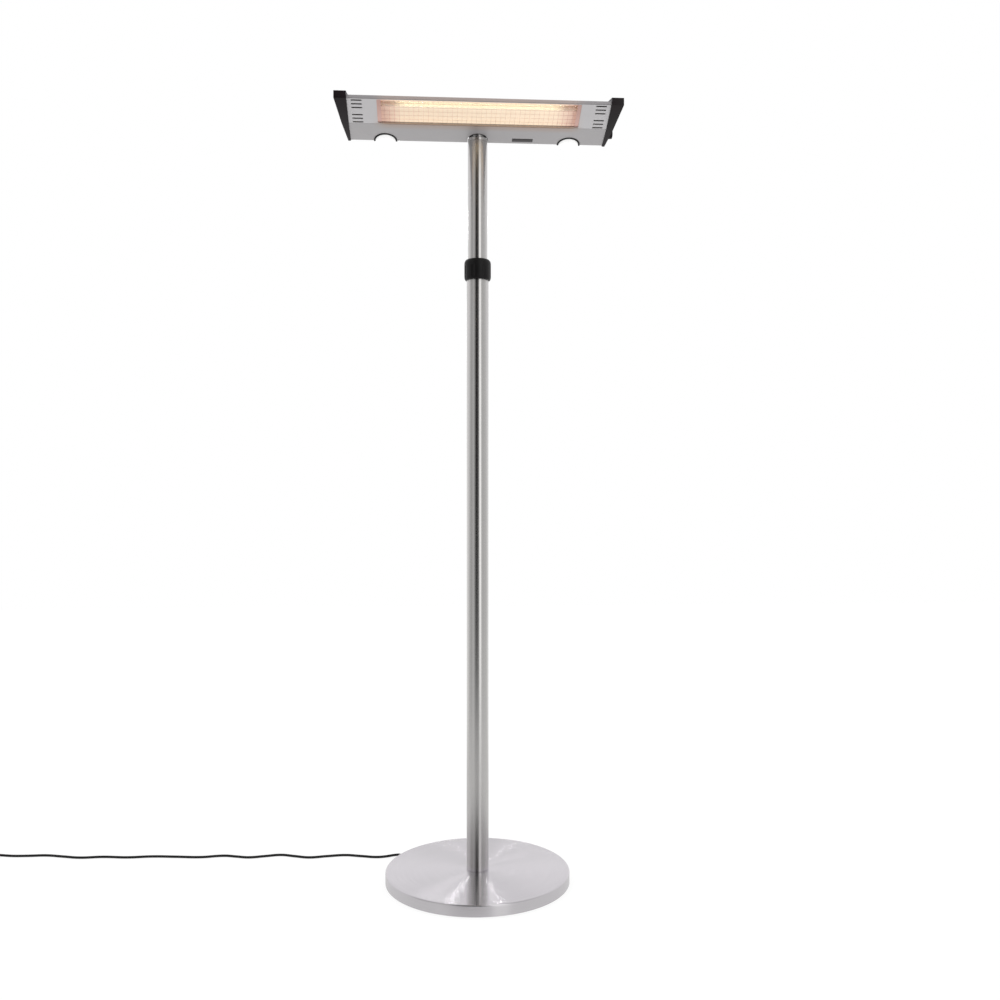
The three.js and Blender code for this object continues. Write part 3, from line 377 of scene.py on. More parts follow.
def folded_sheet(name, path, half, fold, segments=4):
    """A sheet that follows (y, z) points along X, with its folds rounded and its faces outward."""
    bm = bmesh.new()
    verts = [bm.verts.new((-half, y, z)) for y, z in path]
    edges = [bm.edges.new(pair) for pair in zip(verts, verts[1:])]
    drawn_out(bm, bmesh.ops.extrude_edge_only(bm, edges=edges), 2 * half)
    rounded(bm, [edge for edge in bm.edges if len(edge.link_faces) == 2], fold, segments)
    bm.normal_update()
    top = max(bm.faces, key=lambda face: face.calc_center_median().z)
    if top.normal.z < 0:
        bmesh.ops.reverse_faces(bm, faces=bm.faces)
    return put_back(linked(name, bpy.data.meshes.new("sheet")), bm)


def offset_outline(points, distance):
    """Moves each point of a closed outline sideways, with mitred corners."""
    count = len(points)

    def normal_after(i):
        (ay, az), (by, bz) = points[i % count], points[(i + 1) % count]
        length = hypot(by - ay, bz - az)
        return (bz - az) / length, -(by - ay) / length

    moved_points = []
    for i, (y, z) in enumerate(points):
        (by, bz), (ay, az) = normal_after(i - 1 + count), normal_after(i)
        scale = distance / (1 + by * ay + bz * az)
        moved_points.append((y + (by + ay) * scale, z + (bz + az) * scale))
    return moved_points


# ------------------------------------ node tools


def feed(tree, node, sockets):
    """Gives a node's sockets their values or links."""
    for key, value in sockets.items():
        if isinstance(value, bpy.types.NodeSocket):
            tree.links.new(value, node.inputs[key])
        else:
            node.inputs[key].default_value = value


def put(tree, kind, sockets=None, **settings):
    """Adds a node, with its settings and its sockets."""
    node = tree.nodes.new(kind)
    for key, value in settings.items():
        setattr(node, key, value)
    feed(tree, node, sockets or {})
    return node


def maths(tree, operation, a, b=0.0):
    return put(tree, "ShaderNodeMath", {0: a, 1: b}, operation=operation).outputs[0]


def plus(tree, a, b):
    return maths(tree, "ADD", a, b)


def times(tree, product, *factors):
    for factor in factors:
        product = maths(tree, "MULTIPLY", product, factor)
    return product


def blended(tree, a, b, share):
    """The share of a, and the rest of b."""
    return plus(tree, times(tree, a, share), times(tree, b, 1 - share))


def vector_maths(tree, operation, sockets):
    return put(tree, "ShaderNodeVectorMath", sockets, operation=operation).outputs


def spot(tree):
    return put(tree, "ShaderNodeTexCoord").outputs["Object"]


def axes(tree, vector):
    return list(put(tree, "ShaderNodeSeparateXYZ", {"Vector": vector}).outputs)


def noise(tree, vector, scale, detail=3.0, roughness=0.5):
    sockets = {"Vector": vector, "Scale": scale, "Detail": detail, "Roughness": roughness}
    return put(tree, "ShaderNodeTexNoise", sockets).outputs["Fac"]


def ramp(tree, factor, stops):
    node = put(tree, "ShaderNodeValToRGB", {"Fac": factor})
    ends = node.color_ramp.elements
    while len(ends) < len(stops):
        ends.new(0.5)
    for element, (position, colour) in zip(ends, stops):
        element.position = position
        element.color = (*colour, 1)
    return node.outputs["Color"]


def span(tree, value, middle, spread):
    """A value from 0 to 1 as a measure that is spread to either side of its middle."""
    sockets = {"Value": value, "To Min": middle - spread, "To Max": middle + spread}
    return put(tree, "ShaderNodeMapRange", sockets).outputs["Result"]


def between(tree, value, low, high, rise="SMOOTHSTEP"):
    """A rise from 0 at low to 1 at high."""
    sockets = {"Value": value, "From Min": low, "From Max": high}
    return put(tree, "ShaderNodeMapRange", sockets, interpolation_type=rise).outputs["Result"]


def mixed(tree, factor, colour, other, way="MIX"):
    sockets = {"Factor": factor, 6: colour, 7: (*other, 1)}
    return put(tree, "ShaderNodeMix", sockets, data_type="RGBA", blend_type=way).outputs[2]


def multiplied(tree, colour, tint, factor):
    return mixed(tree, factor, colour, tint, "MULTIPLY")


def mottled(tree, factor, colour, dark, light, low=0.3, high=0.7):
    """The colour, darker and lighter by turns."""
    return ramp(tree, factor, [
        (low, tuple(c * dark for c in colour)),
        (high, tuple(min(1, c * light) for c in colour)),
    ])


def bumps(tree, height, strength, distance=0.0001):
    sockets = {"Height": height, "Strength": strength, "Distance": distance}
    return put(tree, "ShaderNodeBump", sockets).outputs["Normal"]


# ------------------------------------ finishes


def new_finish(name):
    material = bpy.data.materials.new(name)
    material.use_nodes = True
    tree = material.node_tree
    return material, tree, tree.nodes["Principled BSDF"], spot(tree)


def brushed(name, colour, roughness, grain, depth, groove_lean):
    """Steel brushed round its own upright axis, with grain lines to the metre."""
    material, tree, shader, place = new_finish(name)
    x, y, z = axes(tree, place)
    radius = maths(tree, "SQRT", plus(tree, times(tree, x, x), times(tree, y, y)))
    line = times(tree, plus(tree, radius, z), grain)
    around = [times(tree, maths(tree, "DIVIDE", side, radius), 1.6) for side in (x, y)]
    way = put(tree, "ShaderNodeCombineXYZ", {0: line, 1: around[0], 2: around[1]}).outputs[0]
    lines = noise(tree, way, 1.0, 4.0, 0.6)
    both = blended(tree, lines, noise(tree, place, 9.0), 0.75)
    disc = between(tree, z, base_top + 0.013, base_top + 0.002)
    steel = mottled(tree, both, colour, 0.94, 1.05)
    tangent = put(tree, "ShaderNodeTangent", direction_type="RADIAL", axis="Z").outputs["Tangent"]
    # The spun disc's grooves lean each a little inwards or outwards. That draws its highlights
    # out into rays that are narrower than the shader's own.
    facing = put(tree, "ShaderNodeNewGeometry").outputs["Normal"]
    across = vector_maths(tree, "CROSS_PRODUCT", {0: facing, 1: tangent})[0]
    flat_top = times(tree, disc, between(tree, z, base_top - 0.002, base_top - 0.0002))
    lean = times(tree, maths(tree, "SUBTRACT", lines, 0.5), groove_lean, flat_top)
    leaning = vector_maths(tree, "SCALE", {0: across, "Scale": lean})[0]
    grooved = vector_maths(tree, "ADD", {0: facing, 1: leaning})[0]
    level = vector_maths(tree, "NORMALIZE", {0: grooved})[0]
    bump = bumps(tree, lines, depth, 0.00005)
    tree.links.new(level, bump.node.inputs["Normal"])
    feed(tree, shader, {
        "Base Color": multiplied(tree, steel, (1.06, 1.045, 1.10), disc),
        "Roughness": span(tree, both, roughness, roughness * 0.05), "Metallic": 1.0,
        "Anisotropic": 1.0, "Anisotropic Rotation": 0.25, "Tangent": tangent, "Normal": bump,
    })
    return material


def painted(name, colour):
    """Silver paint with fine flakes and a slight orange peel, with painted shade, glow and a
    shadow line round the heater.
    """
    material, tree, shader, place = new_finish(name)
    x, y, z = axes(tree, place)
    flakes = noise(tree, place, 2600.0, 1.0)
    both = blended(tree, flakes, noise(tree, place, 7.0), 0.6)
    paint = mottled(tree, both, colour, 0.93, 1.06)
    middle = between(tree, maths(tree, "ABSOLUTE", x), 0.285, 0.24)
    low = between(tree, z, 2.06, 2.04)
    # Painted shade darkens the front lip, and a painted warm glow of the heater lightens its
    # middle.
    lip = between(tree, y, nose[0] + 0.003, nose[0] + 0.0003)
    paint = multiplied(tree, paint, (0.80, 0.79, 0.80), lip)
    paint = multiplied(tree, paint, (1.32, 1.16, 1.06), times(tree, lip, middle))
    # Painted brown shade makes the lower panel browner towards the crease, and a painted shadow
    # line runs along the crease.
    under = times(tree, between(tree, y, crease[0] + 0.0245, crease[0] + 0.0025), low, middle)
    paint = multiplied(tree, paint, (1.0, 0.86, 0.77), under)
    edge = plus(tree, y, times(tree, noise(tree, place, 160.0), 0.003))
    front = between(tree, edge, crease[0] - 0.004, crease[0] - 0.0015)
    rear = between(tree, edge, crease[0] + 0.004, crease[0] + 0.0015)
    painted_shadow_line = times(tree, front, rear, low, middle)
    feed(tree, shader, {
        "Base Color": multiplied(tree, paint, (0.72, 0.62, 0.52), painted_shadow_line),
        "Roughness": span(tree, flakes, 0.42, 0.06), "Metallic": 0.25,
        "Normal": bumps(tree, noise(tree, place, 420.0, 2.0), 0.10),
    })
    return material


def moulded(name, colour, roughness, scale=1400.0, depth=0.25, shine=0.25):
    """Moulded plastic or rubber with a fine surface texture and slight wear in its sheen."""
    material, tree, shader, place = new_finish(name)
    clouds = noise(tree, place, 25.0, 4.0)
    feed(tree, shader, {
        "Base Color": mottled(tree, clouds, colour, 0.75, 1.3),
        "Roughness": span(tree, clouds, roughness, 0.07), "Specular IOR Level": shine,
        "Normal": bumps(tree, noise(tree, place, scale, 2.0, 0.6), depth),
    })
    return material


def plated(name, colour, roughness=0.36):
    """Zinc plated steel or bare brass, with faint spangle."""
    material, tree, shader, place = new_finish(name)
    cells = put(tree, "ShaderNodeTexVoronoi", {"Vector": place, "Scale": 260.0}).outputs["Color"]
    cell = put(tree, "ShaderNodeSeparateColor", {"Color": cells}).outputs[0]
    both = blended(tree, cell, noise(tree, place, 60.0, 4.0), 0.4)
    feed(tree, shader, {
        "Base Color": mottled(tree, both, colour, 0.82, 1.1, 0.25, 0.75),
        "Roughness": span(tree, both, roughness, 0.1), "Metallic": 1.0,
        "Normal": bumps(tree, noise(tree, place, 900.0, 2.0), 0.08),
    })
    return material


def mineral(name, colour, roughness, scale, depth):
    """Cast concrete or unglazed ceramic."""
    material, tree, shader, place = new_finish(name)
    coarse = noise(tree, place, scale, 8.0, 0.65)
    feed(tree, shader, {
        "Base Color": mottled(tree, coarse, colour, 0.8, 1.12),
        "Roughness": span(tree, coarse, roughness, 0.08),
        "Normal": bumps(tree, coarse, depth, 0.0004),
    })
    return material


def circuit(name):
    """Green board with paler tracks."""
    material, tree, shader, place = new_finish(name)
    tracks = put(
        tree, "ShaderNodeTexBrick",
        {"Vector": place, "Scale": 90.0, "Mortar Size": 0.02, "Color1": (0.02, 0.10, 0.045, 1),
         "Color2": (0.025, 0.13, 0.06, 1), "Mortar": (0.10, 0.28, 0.13, 1)},
    ).outputs
    feed(tree, shader, {
        "Base Color": tracks["Color"],
        "Roughness": span(tree, noise(tree, place, 300.0), 0.45, 0.10),
        "Normal": bumps(tree, tracks["Fac"], 0.15),
    })
    return material


def end_share(tree, place):
    """How far a place is from the heater's middle, as a slightly uneven share of the half."""
    share = maths(tree, "DIVIDE", maths(tree, "ABSOLUTE", axes(tree, place)[0]), reflector_half)
    return plus(tree, share, times(tree, noise(tree, place, 30.0), 0.06))


def warm_reflector(name):
    """Aluminium with the tube's light painted on as a glow: cream in the middle, rosier and dimmer
    at ends and front edge.
    """
    material, tree, shader, place = new_finish(name)
    painted_glow_colour = ramp(tree, end_share(tree, place), [
        (0.0, (1.0, 0.80, 0.61)), (0.82, (1.0, 0.79, 0.60)),
        (0.93, (0.82, 0.57, 0.45)), (1.0, (0.66, 0.42, 0.34)),
    ])
    _, y, z = axes(tree, place)
    down = panel_frame.col[1]
    along = plus(tree, times(tree, y, down.y), times(tree, z, down.z))
    start = nose[0] * down.y + nose[1] * down.z
    share = between(tree, along, start, start + panel_length, "LINEAR")
    levels = [(0.0, 0.12), (0.12, 0.28), (0.35, 0.62), (1.0, 0.84)]
    metal = ramp(tree, noise(tree, place, 40.0, 4.0), [
        (0.3, (0.42, 0.37, 0.31)), (0.7, (0.50, 0.45, 0.38)),
    ])
    feed(tree, shader, {
        "Base Color": metal, "Metallic": 1.0, "Emission Color": painted_glow_colour,
        "Emission Strength": ramp(tree, share, [(at, (level,) * 3) for at, level in levels]),
        "Roughness": span(tree, noise(tree, place, 160.0, 4.0), 0.43, 0.07),
        "Normal": bumps(tree, noise(tree, place, 55.0, 2.0), 0.12, 0.0006),
    })
    return material


def warm_wire(name):
    """Wire with the tube's light painted into its colour: cream in the middle, and a rosier
    painted glow at its ends.
    """
    material, tree, shader, place = new_finish(name)
    feed(tree, shader, {
        "Base Color": ramp(tree, end_share(tree, place), [
            (0.0, (0.95, 0.84, 0.68)), (0.78, (0.92, 0.76, 0.62)),
            (0.93, (0.74, 0.48, 0.41)), (1.0, (0.75, 0.50, 0.44)),
        ]),
        "Roughness": span(tree, noise(tree, place, 200.0), 0.44, 0.06), "Metallic": 1.0,
    })
    return material


def glowing(name, hot, cool, strength, base, transmission=0.0, roughness=0.3):
    """Glass or wire that glows in the middle of the heater and is dull past the wound length."""
    material, tree, shader, place = new_finish(name)
    start = glow_half / reflector_half
    stops = [(0.0, hot), (start - 0.05, hot), (start + 0.08, cool)]
    feed(tree, shader, {
        "Base Color": (*base, 1), "Emission Color": ramp(tree, end_share(tree, place), stops),
        "Emission Strength": strength, "Transmission Weight": transmission, "IOR": 1.46,
        "Roughness": span(tree, noise(tree, place, 300.0), roughness, 0.04),
    })
    return material


def frosted(name, colour, strength):
    """A frosted lens lit from behind, slightly uneven."""
    material, tree, shader, place = new_finish(name)
    clouds = noise(tree, place, 120.0)
    feed(tree, shader, {
        "Base Color": (0.85, 0.85, 0.85, 1), "Emission Strength": strength,
        "Emission Color": mottled(tree, clouds, colour, 0.96, 1.03),
        "Roughness": span(tree, clouds, 0.315, 0.065),
        "Normal": bumps(tree, noise(tree, place, 900.0, 2.0), 0.1),
    })
    return material


recipes = {
    "brushed_steel": (brushed, (0.63, 0.619, 0.607), 0.25, 1500.0, 0.10, 1.5),
    "ballast_stone": (mineral, (0.26, 0.25, 0.23), 0.9, 60.0, 0.5),
    "foot_rubber": (moulded, (0.010, 0.010, 0.010), 0.8, 900.0, 0.3),
    "zinc_hardware": (plated, (0.42, 0.42, 0.42)),
    "tube_plastic": (moulded, (0.0055, 0.005, 0.005), 0.45),
    "silver_paint": (painted, (0.50, 0.485, 0.49)),
    "panel_paint": (painted, (0.70, 0.685, 0.695)),
    "cap_plastic": (moulded, (0.0105, 0.0062, 0.0078), 0.40),
    "guard_wire": (warm_wire,),
    "reflector_metal": (warm_reflector,),
    "quartz_glass": (
        glowing, (1.0, 0.90, 0.66), (0.20, 0.10, 0.07), 0.18, (1.0, 0.95, 0.85), 0.6, 0.12),
    "hot_filament": (
        glowing, (1.0, 0.86, 0.55), (0.25, 0.08, 0.04), 1.0, (0.6, 0.45, 0.35), 0.0, 0.4),
    "ceramic_white": (mineral, (0.80, 0.76, 0.70), 0.6, 300.0, 0.15),
    "lamp_lens": (frosted, (0.97, 0.97, 0.96), 0.46),
    "circuit_green": (circuit,),
    "window_black": (moulded, (0.02, 0.014, 0.016), 0.14, 500.0, 0.02, 0.5),
    "cord_black": (moulded, (0.010, 0.010, 0.010), 0.5, 1100.0, 0.15),
    "pin_brass": (plated, (0.62, 0.47, 0.22), 0.28),
}
finishes = {name: make(name, *settings) for name, (make, *settings) in recipes.items()}
slot_of = {part["node"]: part["material_slot"] for part in frame["record"]["subparts"]}


def dress(piece, body, *nodes):
    """Gives a new piece its nodes' finish and its body, and lets it stand for them."""
    slot = slot_of[nodes[0]]
    if not piece.data.materials:
        piece.data.materials.append(finishes[slot])
    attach(piece, body)
    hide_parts(*nodes)
    return piece


# ------------------------------------ cord, gland and plug

gland_turn = Matrix.Rotation(gland_angle, 4, "Z")


def at_gland(radius):
    return gland_turn @ Vector((radius, 0, gland_z))


# The cord drops from the gland as (x, y, z), and runs on along the floor as (x, y).
cord_drop = [(-0.2195, 0.184, 0.009), (-0.236, 0.1885, 0.0065), (-0.257, 0.187, 0.0042)]
cord_run = [
    (-0.282, 0.185), (-0.330, 0.196), (-0.376, 0.207), (-0.428, 0.202), (-0.479, 0.195),
    (-0.522, 0.208), (-0.563, 0.221), (-0.608, 0.214), (-0.653, 0.207), (-0.690, 0.216),
    (-0.725, 0.225), (-0.793, 0.218), (-0.864, 0.226), (-0.934, 0.233), (-1.003, 0.230),
    (-1.074, 0.239), (-1.141, 0.237), (-1.190, 0.249), (-1.243, 0.262), (-1.290, 0.262),
    (-1.338, 0.264), (-1.386, 0.274), (-1.4192, 0.276),
]


def smooth_step(value, low, high):
    share = min(1, max(0, (value - low) / (high - low)))
    return share * share * (3 - 2 * share)


def coil_points():
    """The coil winds in on the floor, climbs where it turns back, and winds out on top."""
    centre = (-cord_edge, cord_edge_y - coil_radius)
    per_turn, climb_start, climb_end = 24, 1.25, 1.75
    points = []
    for i in range(coil_turns * per_turn + 1):
        turns = i / per_turn
        wound = min(turns, coil_turns - turns)
        climb = smooth_step(turns, climb_start, climb_end)
        radius = coil_radius - coil_pitch * wound
        angle = pi / 2 + turns * 2 * pi
        points.append((
            centre[0] + radius * cos(angle),
            centre[1] + radius * sin(angle),
            cord_radius + coil_rise * climb,
        ))
    x, y, z = points[-1]
    for i in range(1, 5):
        rise = smooth_step(i / 3, 0, 1)
        points.append((x - coil_tail * i / 4, y, z + (plug_z - z) * rise))
    return points


def make_cord():
    data = bpy.data.curves.new("power_cord_line", "CURVE")
    data.dimensions = "3D"
    data.resolution_u = 8
    data.bevel_depth = cord_radius
    data.bevel_resolution = 5
    data.use_fill_caps = True
    on_floor = [(x, y, cord_radius) for x, y in cord_run]
    start = [at_gland(base_radius - sheet - gap), at_gland(base_radius + gland_reach)]
    route = [*start, *cord_drop, *on_floor, *coil_points()]
    line = data.splines.new("BEZIER")
    line.bezier_points.add(len(route) - 1)
    for point, place in zip(line.bezier_points, route):
        point.co = place
        point.handle_left_type = point.handle_right_type = "AUTO"
    return linked("mains_cord", data)


def make_gland():
    """A flange inside the cover and a ribbed sleeve that tapers outside it."""
    bore, flange, neck, tip = 0.0038, 0.0085, 0.0065, 0.0047
    wall = base_radius - sheet
    flange_back, flange_face = wall - 0.0028, wall - 0.0006
    profile = [
        (bore, flange_back), (flange, flange_back), (flange, flange_face),
        (neck, flange_face), (neck, base_radius + 0.0045),
    ]
    for i in range(5):
        start = base_radius + 0.0050 + i * 0.0036
        rib = 0.0064 - i * 0.00036
        groove = rib - 0.0010
        profile += [(groove, start), (groove, start + 0.0010)]
        profile += [(rib, start + 0.0014), (rib - 0.0002, start + 0.0034)]
    profile += [(tip, base_radius + gland_reach), (bore, base_radius + gland_reach)]
    bm = along_x(turned(profile, 48, ring=True), 0, gland_z)
    return shade(piece_from("ribbed_gland", moved(bm, gland_turn)))


def plug_frame(side=0):
    """The frame of the plug, or of the pin at one side, with its axis along Z."""
    end = (-cord_edge - coil_tail, cord_edge_y + side * pin_offset, plug_z)
    return Matrix.Translation(end) @ Matrix.Rotation(-pi / 2, 4, "Y")


def make_plug():
    """A round moulded plug with a ribbed boot, and sockets round its two pins."""
    boot, grip, face = 0.0003, 0.0163, 0.0463
    profile = [(0, boot), (0.0050, boot)]
    for i in range(4):
        start = boot + 0.002 + i * 0.0034
        rib = 0.0055 + i * 0.0008
        groove = rib - 0.0012
        profile += [(rib, start), (rib, start + 0.0018)]
        profile += [(groove, start + 0.0020), (groove, start + 0.0030)]
    profile += [
        (0.0090, grip), (0.0114, grip + 0.003), (0.0120, grip + 0.007),
        (0.0114, grip + 0.013), (0.0120, face - 0.008), (0.0160, face - 0.001),
        (0.0168, face + 0.002), (0.0168, plug_front - 0.001), (0.0158, plug_front),
        (0, plug_front),
    ]
    plug = piece_from("moulded_plug", moved(turned(profile, 64), plug_frame()))
    for side in (-1, 1):
        socket = rod(pin_radius + gap, plug_front - pin_root - gap, plug_front + past, 24)
        cut_from(plug, moved(socket, plug_frame(side)))
    return shade(plug)


def make_pin(name, side):
    """A round pin with an eased tip."""
    pin = rod(pin_radius, plug_front - pin_root, plug_front + pin_reach, 32)
    return shade(piece_from(name, moved(soften(pin, 0.0009, 4, over=60), plug_frame(side))))


cord = dress(make_cord(), "base", "power_cord", "cord_coil")
gland = dress(make_gland(), "base", "cord_gland")
plug = dress(make_plug(), "base", "plug_body")
pins = [
    dress(make_pin("round_pin_1", -1), "base", "plug_pin_1"),
    dress(make_pin("round_pin_2", 1), "base", "plug_pin_2"),
]

# ------------------------------------ base and mast


def on_top(edge):
    return min(vert.co.z for vert in edge.verts) > base_top - 1e-5


def make_cover():
    """The spun cover of the base, with a rounded edge and a hole for the gland."""
    wall, under = base_radius - sheet, base_top - sheet
    bm = turned([
        (0, under), (wall, under), (wall, base_lift), (base_radius, base_lift),
        (base_radius, base_top), (0, base_top),
    ], 192)
    cover = piece_from("spun_cover", soften(bm, cover_edge, 6, where=on_top))
    hole = along_x(rod(gland_hole, wall - past, base_radius + past, 32), 0, gland_z)
    return shade(cut_from(cover, moved(hole, gland_turn)))


def make_tube(name, radius, bottom, top):
    bore = radius - tube_wall
    bm = turned([(bore, bottom), (radius, bottom), (radius, top), (bore, top)], 128, ring=True)
    return shade(piece_from(name, soften(bm, fine_edge, 2, over=60)))


def make_collar():
    """The clamping collar, with domed flutes that give its grip."""
    bore, mouth = lower_radius + gap, upper_radius + 0.0004
    heel, heel_height, top_land = 0.0045, 0.010, 0.002
    shoulder, lip = collar_top - collar_shoulder, collar_top - collar_lip
    profile = [(bore, collar_bottom)]
    for i in range(7):
        turn = i / 6 * pi / 2
        radius = collar_radius - heel * (1 - sin(turn))
        profile.append((radius, collar_bottom + heel_height * (1 - cos(turn))))
    for i in range(11):
        turn = i / 10 * pi / 2
        radius = collar_radius - (collar_radius - mouth - top_land) * (1 - cos(turn))
        profile.append((radius, shoulder + collar_shoulder * sin(turn)))
    profile += [(mouth, collar_top), (mouth, lip), (bore, lip)]
    collar = piece_from("grip_collar", turned(profile, 160, ring=True))
    rise = 0.012
    foot, spring = collar_bottom - 0.005, shoulder + 0.002 - rise
    dome = [(grip_radius * cos(i * pi / 16), spring + rise * sin(i * pi / 16)) for i in range(9)]
    reach = collar_radius + grip_radius - grip_depth
    flutes = []
    for i in range(grip_count):
        turn = (i + 0.5) * 2 * pi / grip_count - pi / 2
        flute = turned([(0, foot), (grip_radius, foot), *dome], 40)
        flutes.append(shifted(flute, reach * cos(turn), reach * sin(turn), 0))
    return shade(cut_from(collar, together(*flutes)), 24)


def make_post_plug():
    """The steel plug in the mast's top, its neck in the slot, and the tongue of the joint."""
    spigot, bottom, rim = 0.0247, upper_top - 0.026, upper_top + gap
    chamfer, ease = upper_top + 0.0080, 0.0006
    neck, neck_foot, neck_top = 0.0232, upper_top + 0.0110, upper_top + 0.0175
    body = piece_from("tilt_post", turned([
        (0, bottom), (spigot, bottom), (spigot, rim), (upper_radius, rim),
        (upper_radius, chamfer), (neck, neck_foot), (neck, neck_top - ease),
        (neck - ease, neck_top), (0, neck_top),
    ]))
    lead_hole, lead_x = 0.0045, 0.0165
    lead_way = rod(lead_hole, upper_top - 0.03, upper_top + 0.02, 32)
    cut_from(body, shifted(lead_way, lead_x, 0, 0))
    bolt_way = along_x(rod(0.0043, -0.02, 0.02, 32), 0, pivot_z)
    foot = neck_top + gap
    outline = [(tongue_radius, foot)]
    for i in range(25):
        turn = i / 24 * pi
        outline.append((tongue_radius * cos(turn), pivot_z + tongue_radius * sin(turn)))
    eye = extruded([*outline, (-tongue_radius, foot)], -tongue_half, tongue_half)
    tongue = cut_from(piece_from("tongue", soften(eye, 0.0008, 3, over=60)), bolt_way)
    shapes = [shape_of(part) for part in (body, tongue)]
    for part in (body, tongue):
        bpy.data.objects.remove(part)
    return shade(piece_from("tilt_post", together(*shapes)))


dress(make_cover(), "base", "base_cover")
dress(make_tube("lower_mast", lower_radius, base_top + gap, lower_top), "base", "lower_tube")
dress(make_tube("upper_mast", upper_radius, upper_bottom, upper_top), "mast", "upper_tube")
dress(make_collar(), "collar", "twist_collar")
dress(make_post_plug(), "mast", "post_plug")

# ------------------------------------ head: shell, panel and guard


def make_shell():
    """The folded housing, open at the front panel, with its slot and holes."""
    shell = folded_sheet("folded_shell", shell_path, head_half, shell_fold)
    for finish in ("silver_paint", "zinc_hardware"):
        shell.data.materials.append(finishes[finish])
    thicken(shell, sheet, inside=1)
    pocket_front = rod(pocket_half, below_head, pocket_roof, 96)
    pocket_rear = block(
        (-pocket_half, 0, below_head), (pocket_half, behind_head, pocket_roof))
    end = lower_length - window_from_lowest
    opening = block(
        (window_left - gap, end - window_depth - gap, -past),
        (window_left + window_length + gap, end + gap, past),
    )
    lamps = [
        shifted(rod(lamp_radius + gap, below_head, lamp_top + gap, 96), x, lowest[0], 0)
        for x in (-lamp_x, lamp_x)
    ]
    cut_from(shell, pocket_front, pocket_rear, moved(opening, lower_frame), together(*lamps))
    return shade(shell)


def rounded_slot(left, right, start, end, corner):
    """A cutting block in the front panel's frame, with rounded corners."""
    def through(edge):
        return abs(edge.verts[0].co.z - edge.verts[1].co.z) > 0.001

    bm = block((left, start, -past), (right, end, panel_sheet + past))
    return soften(bm, corner, 5, where=through)


def make_front_panel():
    panel = piece_from("louvred_panel", block(
        (-head_half + gap, sheet + 2 * gap, 0),
        (head_half - gap, panel_length - 2 * gap, panel_sheet),
    ))
    end = panel_length - opening_margin
    opening = rounded_slot(-opening_half, opening_half, opening_margin, end, opening_corner)
    steps = [i * louvre_pitch for i in range(3)]
    rows = [louvre_start + step for step in steps]
    rows += [panel_length - louvre_finish - step for step in steps]
    half, tall = louvre_length / 2, louvre_height / 2
    louvres = [
        rounded_slot(x - half, x + half, row - tall, row + tall, louvre_corner)
        for x in (-louvre_x, louvre_x) for row in rows
    ]
    cut_from(panel, opening, together(*louvres))
    panel.data.transform(panel_frame)
    return shade(panel)


def make_guard():
    """Welded wires across the opening, with a plate at each end that holds them."""
    start = opening_margin - guard_overlap
    end = panel_length - opening_margin + guard_overlap
    parts = []
    for i in range(guard_rows + 1):
        along = start + i * (end - start) / guard_rows
        wire = along_x(rod(guard_wire, -opening_half, opening_half, 6), 0, 0)
        parts.append(shifted(wire, 0, along, guard_inside))
    for i in range(guard_columns):
        x = -opening_half + (i + 0.5) * 2 * opening_half / guard_columns
        wire = moved(rod(guard_wire, start, end, 6), Matrix.Rotation(-pi / 2, 4, "X"))
        parts.append(shifted(wire, x, 0, guard_inside))
    low, high = guard_inside - guard_plate_half, guard_inside + guard_plate_half
    for side in (-1, 1):
        near, far = sorted((side * guard_plate, side * guard_half))
        parts.append(soften(block((near, start, low), (far, end, high)), 0.0002, 2))
    return shade(piece_from("wire_guard", moved(together(*parts), panel_frame)), 70)


dress(make_shell(), "head", "head_shell")
dress(make_front_panel(), "head", "front_panel")
dress(make_guard(), "head", "guard_mesh")

# ------------------------------------ head: heater


def make_reflector():
    start = opening_margin + reflector_inset
    width = panel_length - 2 * start
    depth = reflector_depth - reflector_edge
    path = []
    for across, deep in reflector_shape:
        place = panel_frame @ Vector((0, start + across * width, reflector_edge + deep * depth))
        path.append((place.y, place.z))
    reflector = folded_sheet("curved_reflector", path, reflector_half, reflector_fold, 6)
    return shade(thicken(reflector, reflector_sheet), 40)


def make_quartz():
    bore = quartz_radius - quartz_wall
    bm = turned([
        (bore, -quartz_end), (quartz_radius, -quartz_end),
        (quartz_radius, quartz_end), (bore, quartz_end),
    ], 48, ring=True)
    bm = along_x(soften(bm, 0.0002, 2, over=60), heater_y, heater_z)
    return shade(piece_from("clear_tube", bm))


def make_filament():
    """A wire wound in an even spiral from end to end of the tube."""
    turns, per_turn, wire, winding = 142, 10, 0.0004, 0.0016
    bm = bmesh.new()
    bmesh.ops.create_circle(bm, cap_ends=False, segments=5, radius=wire)
    start = Matrix.Translation((-filament_end, 0, winding))
    bm.transform(start @ Matrix.Rotation(pi / 2, 4, "X"))
    step = 2 * filament_end / (turns * per_turn)
    bmesh.ops.spin(
        bm, geom=bm.verts[:] + bm.edges[:], cent=(0, 0, 0), axis=(1, 0, 0), dvec=(step, 0, 0),
        angle=2 * pi * turns, steps=turns * per_turn, use_merge=False, use_duplicate=False,
    )
    bmesh.ops.holes_fill(bm, edges=[edge for edge in bm.edges if edge.is_boundary], sides=0)
    return shade(piece_from("wound_filament", shifted(bm, 0, heater_y, heater_z)), 60)


dress(make_reflector(), "head", "reflector")
dress(make_quartz(), "head", "quartz_tube")
dress(make_filament(), "head", "filament")

# ------------------------------------ head: end caps, screws and knob


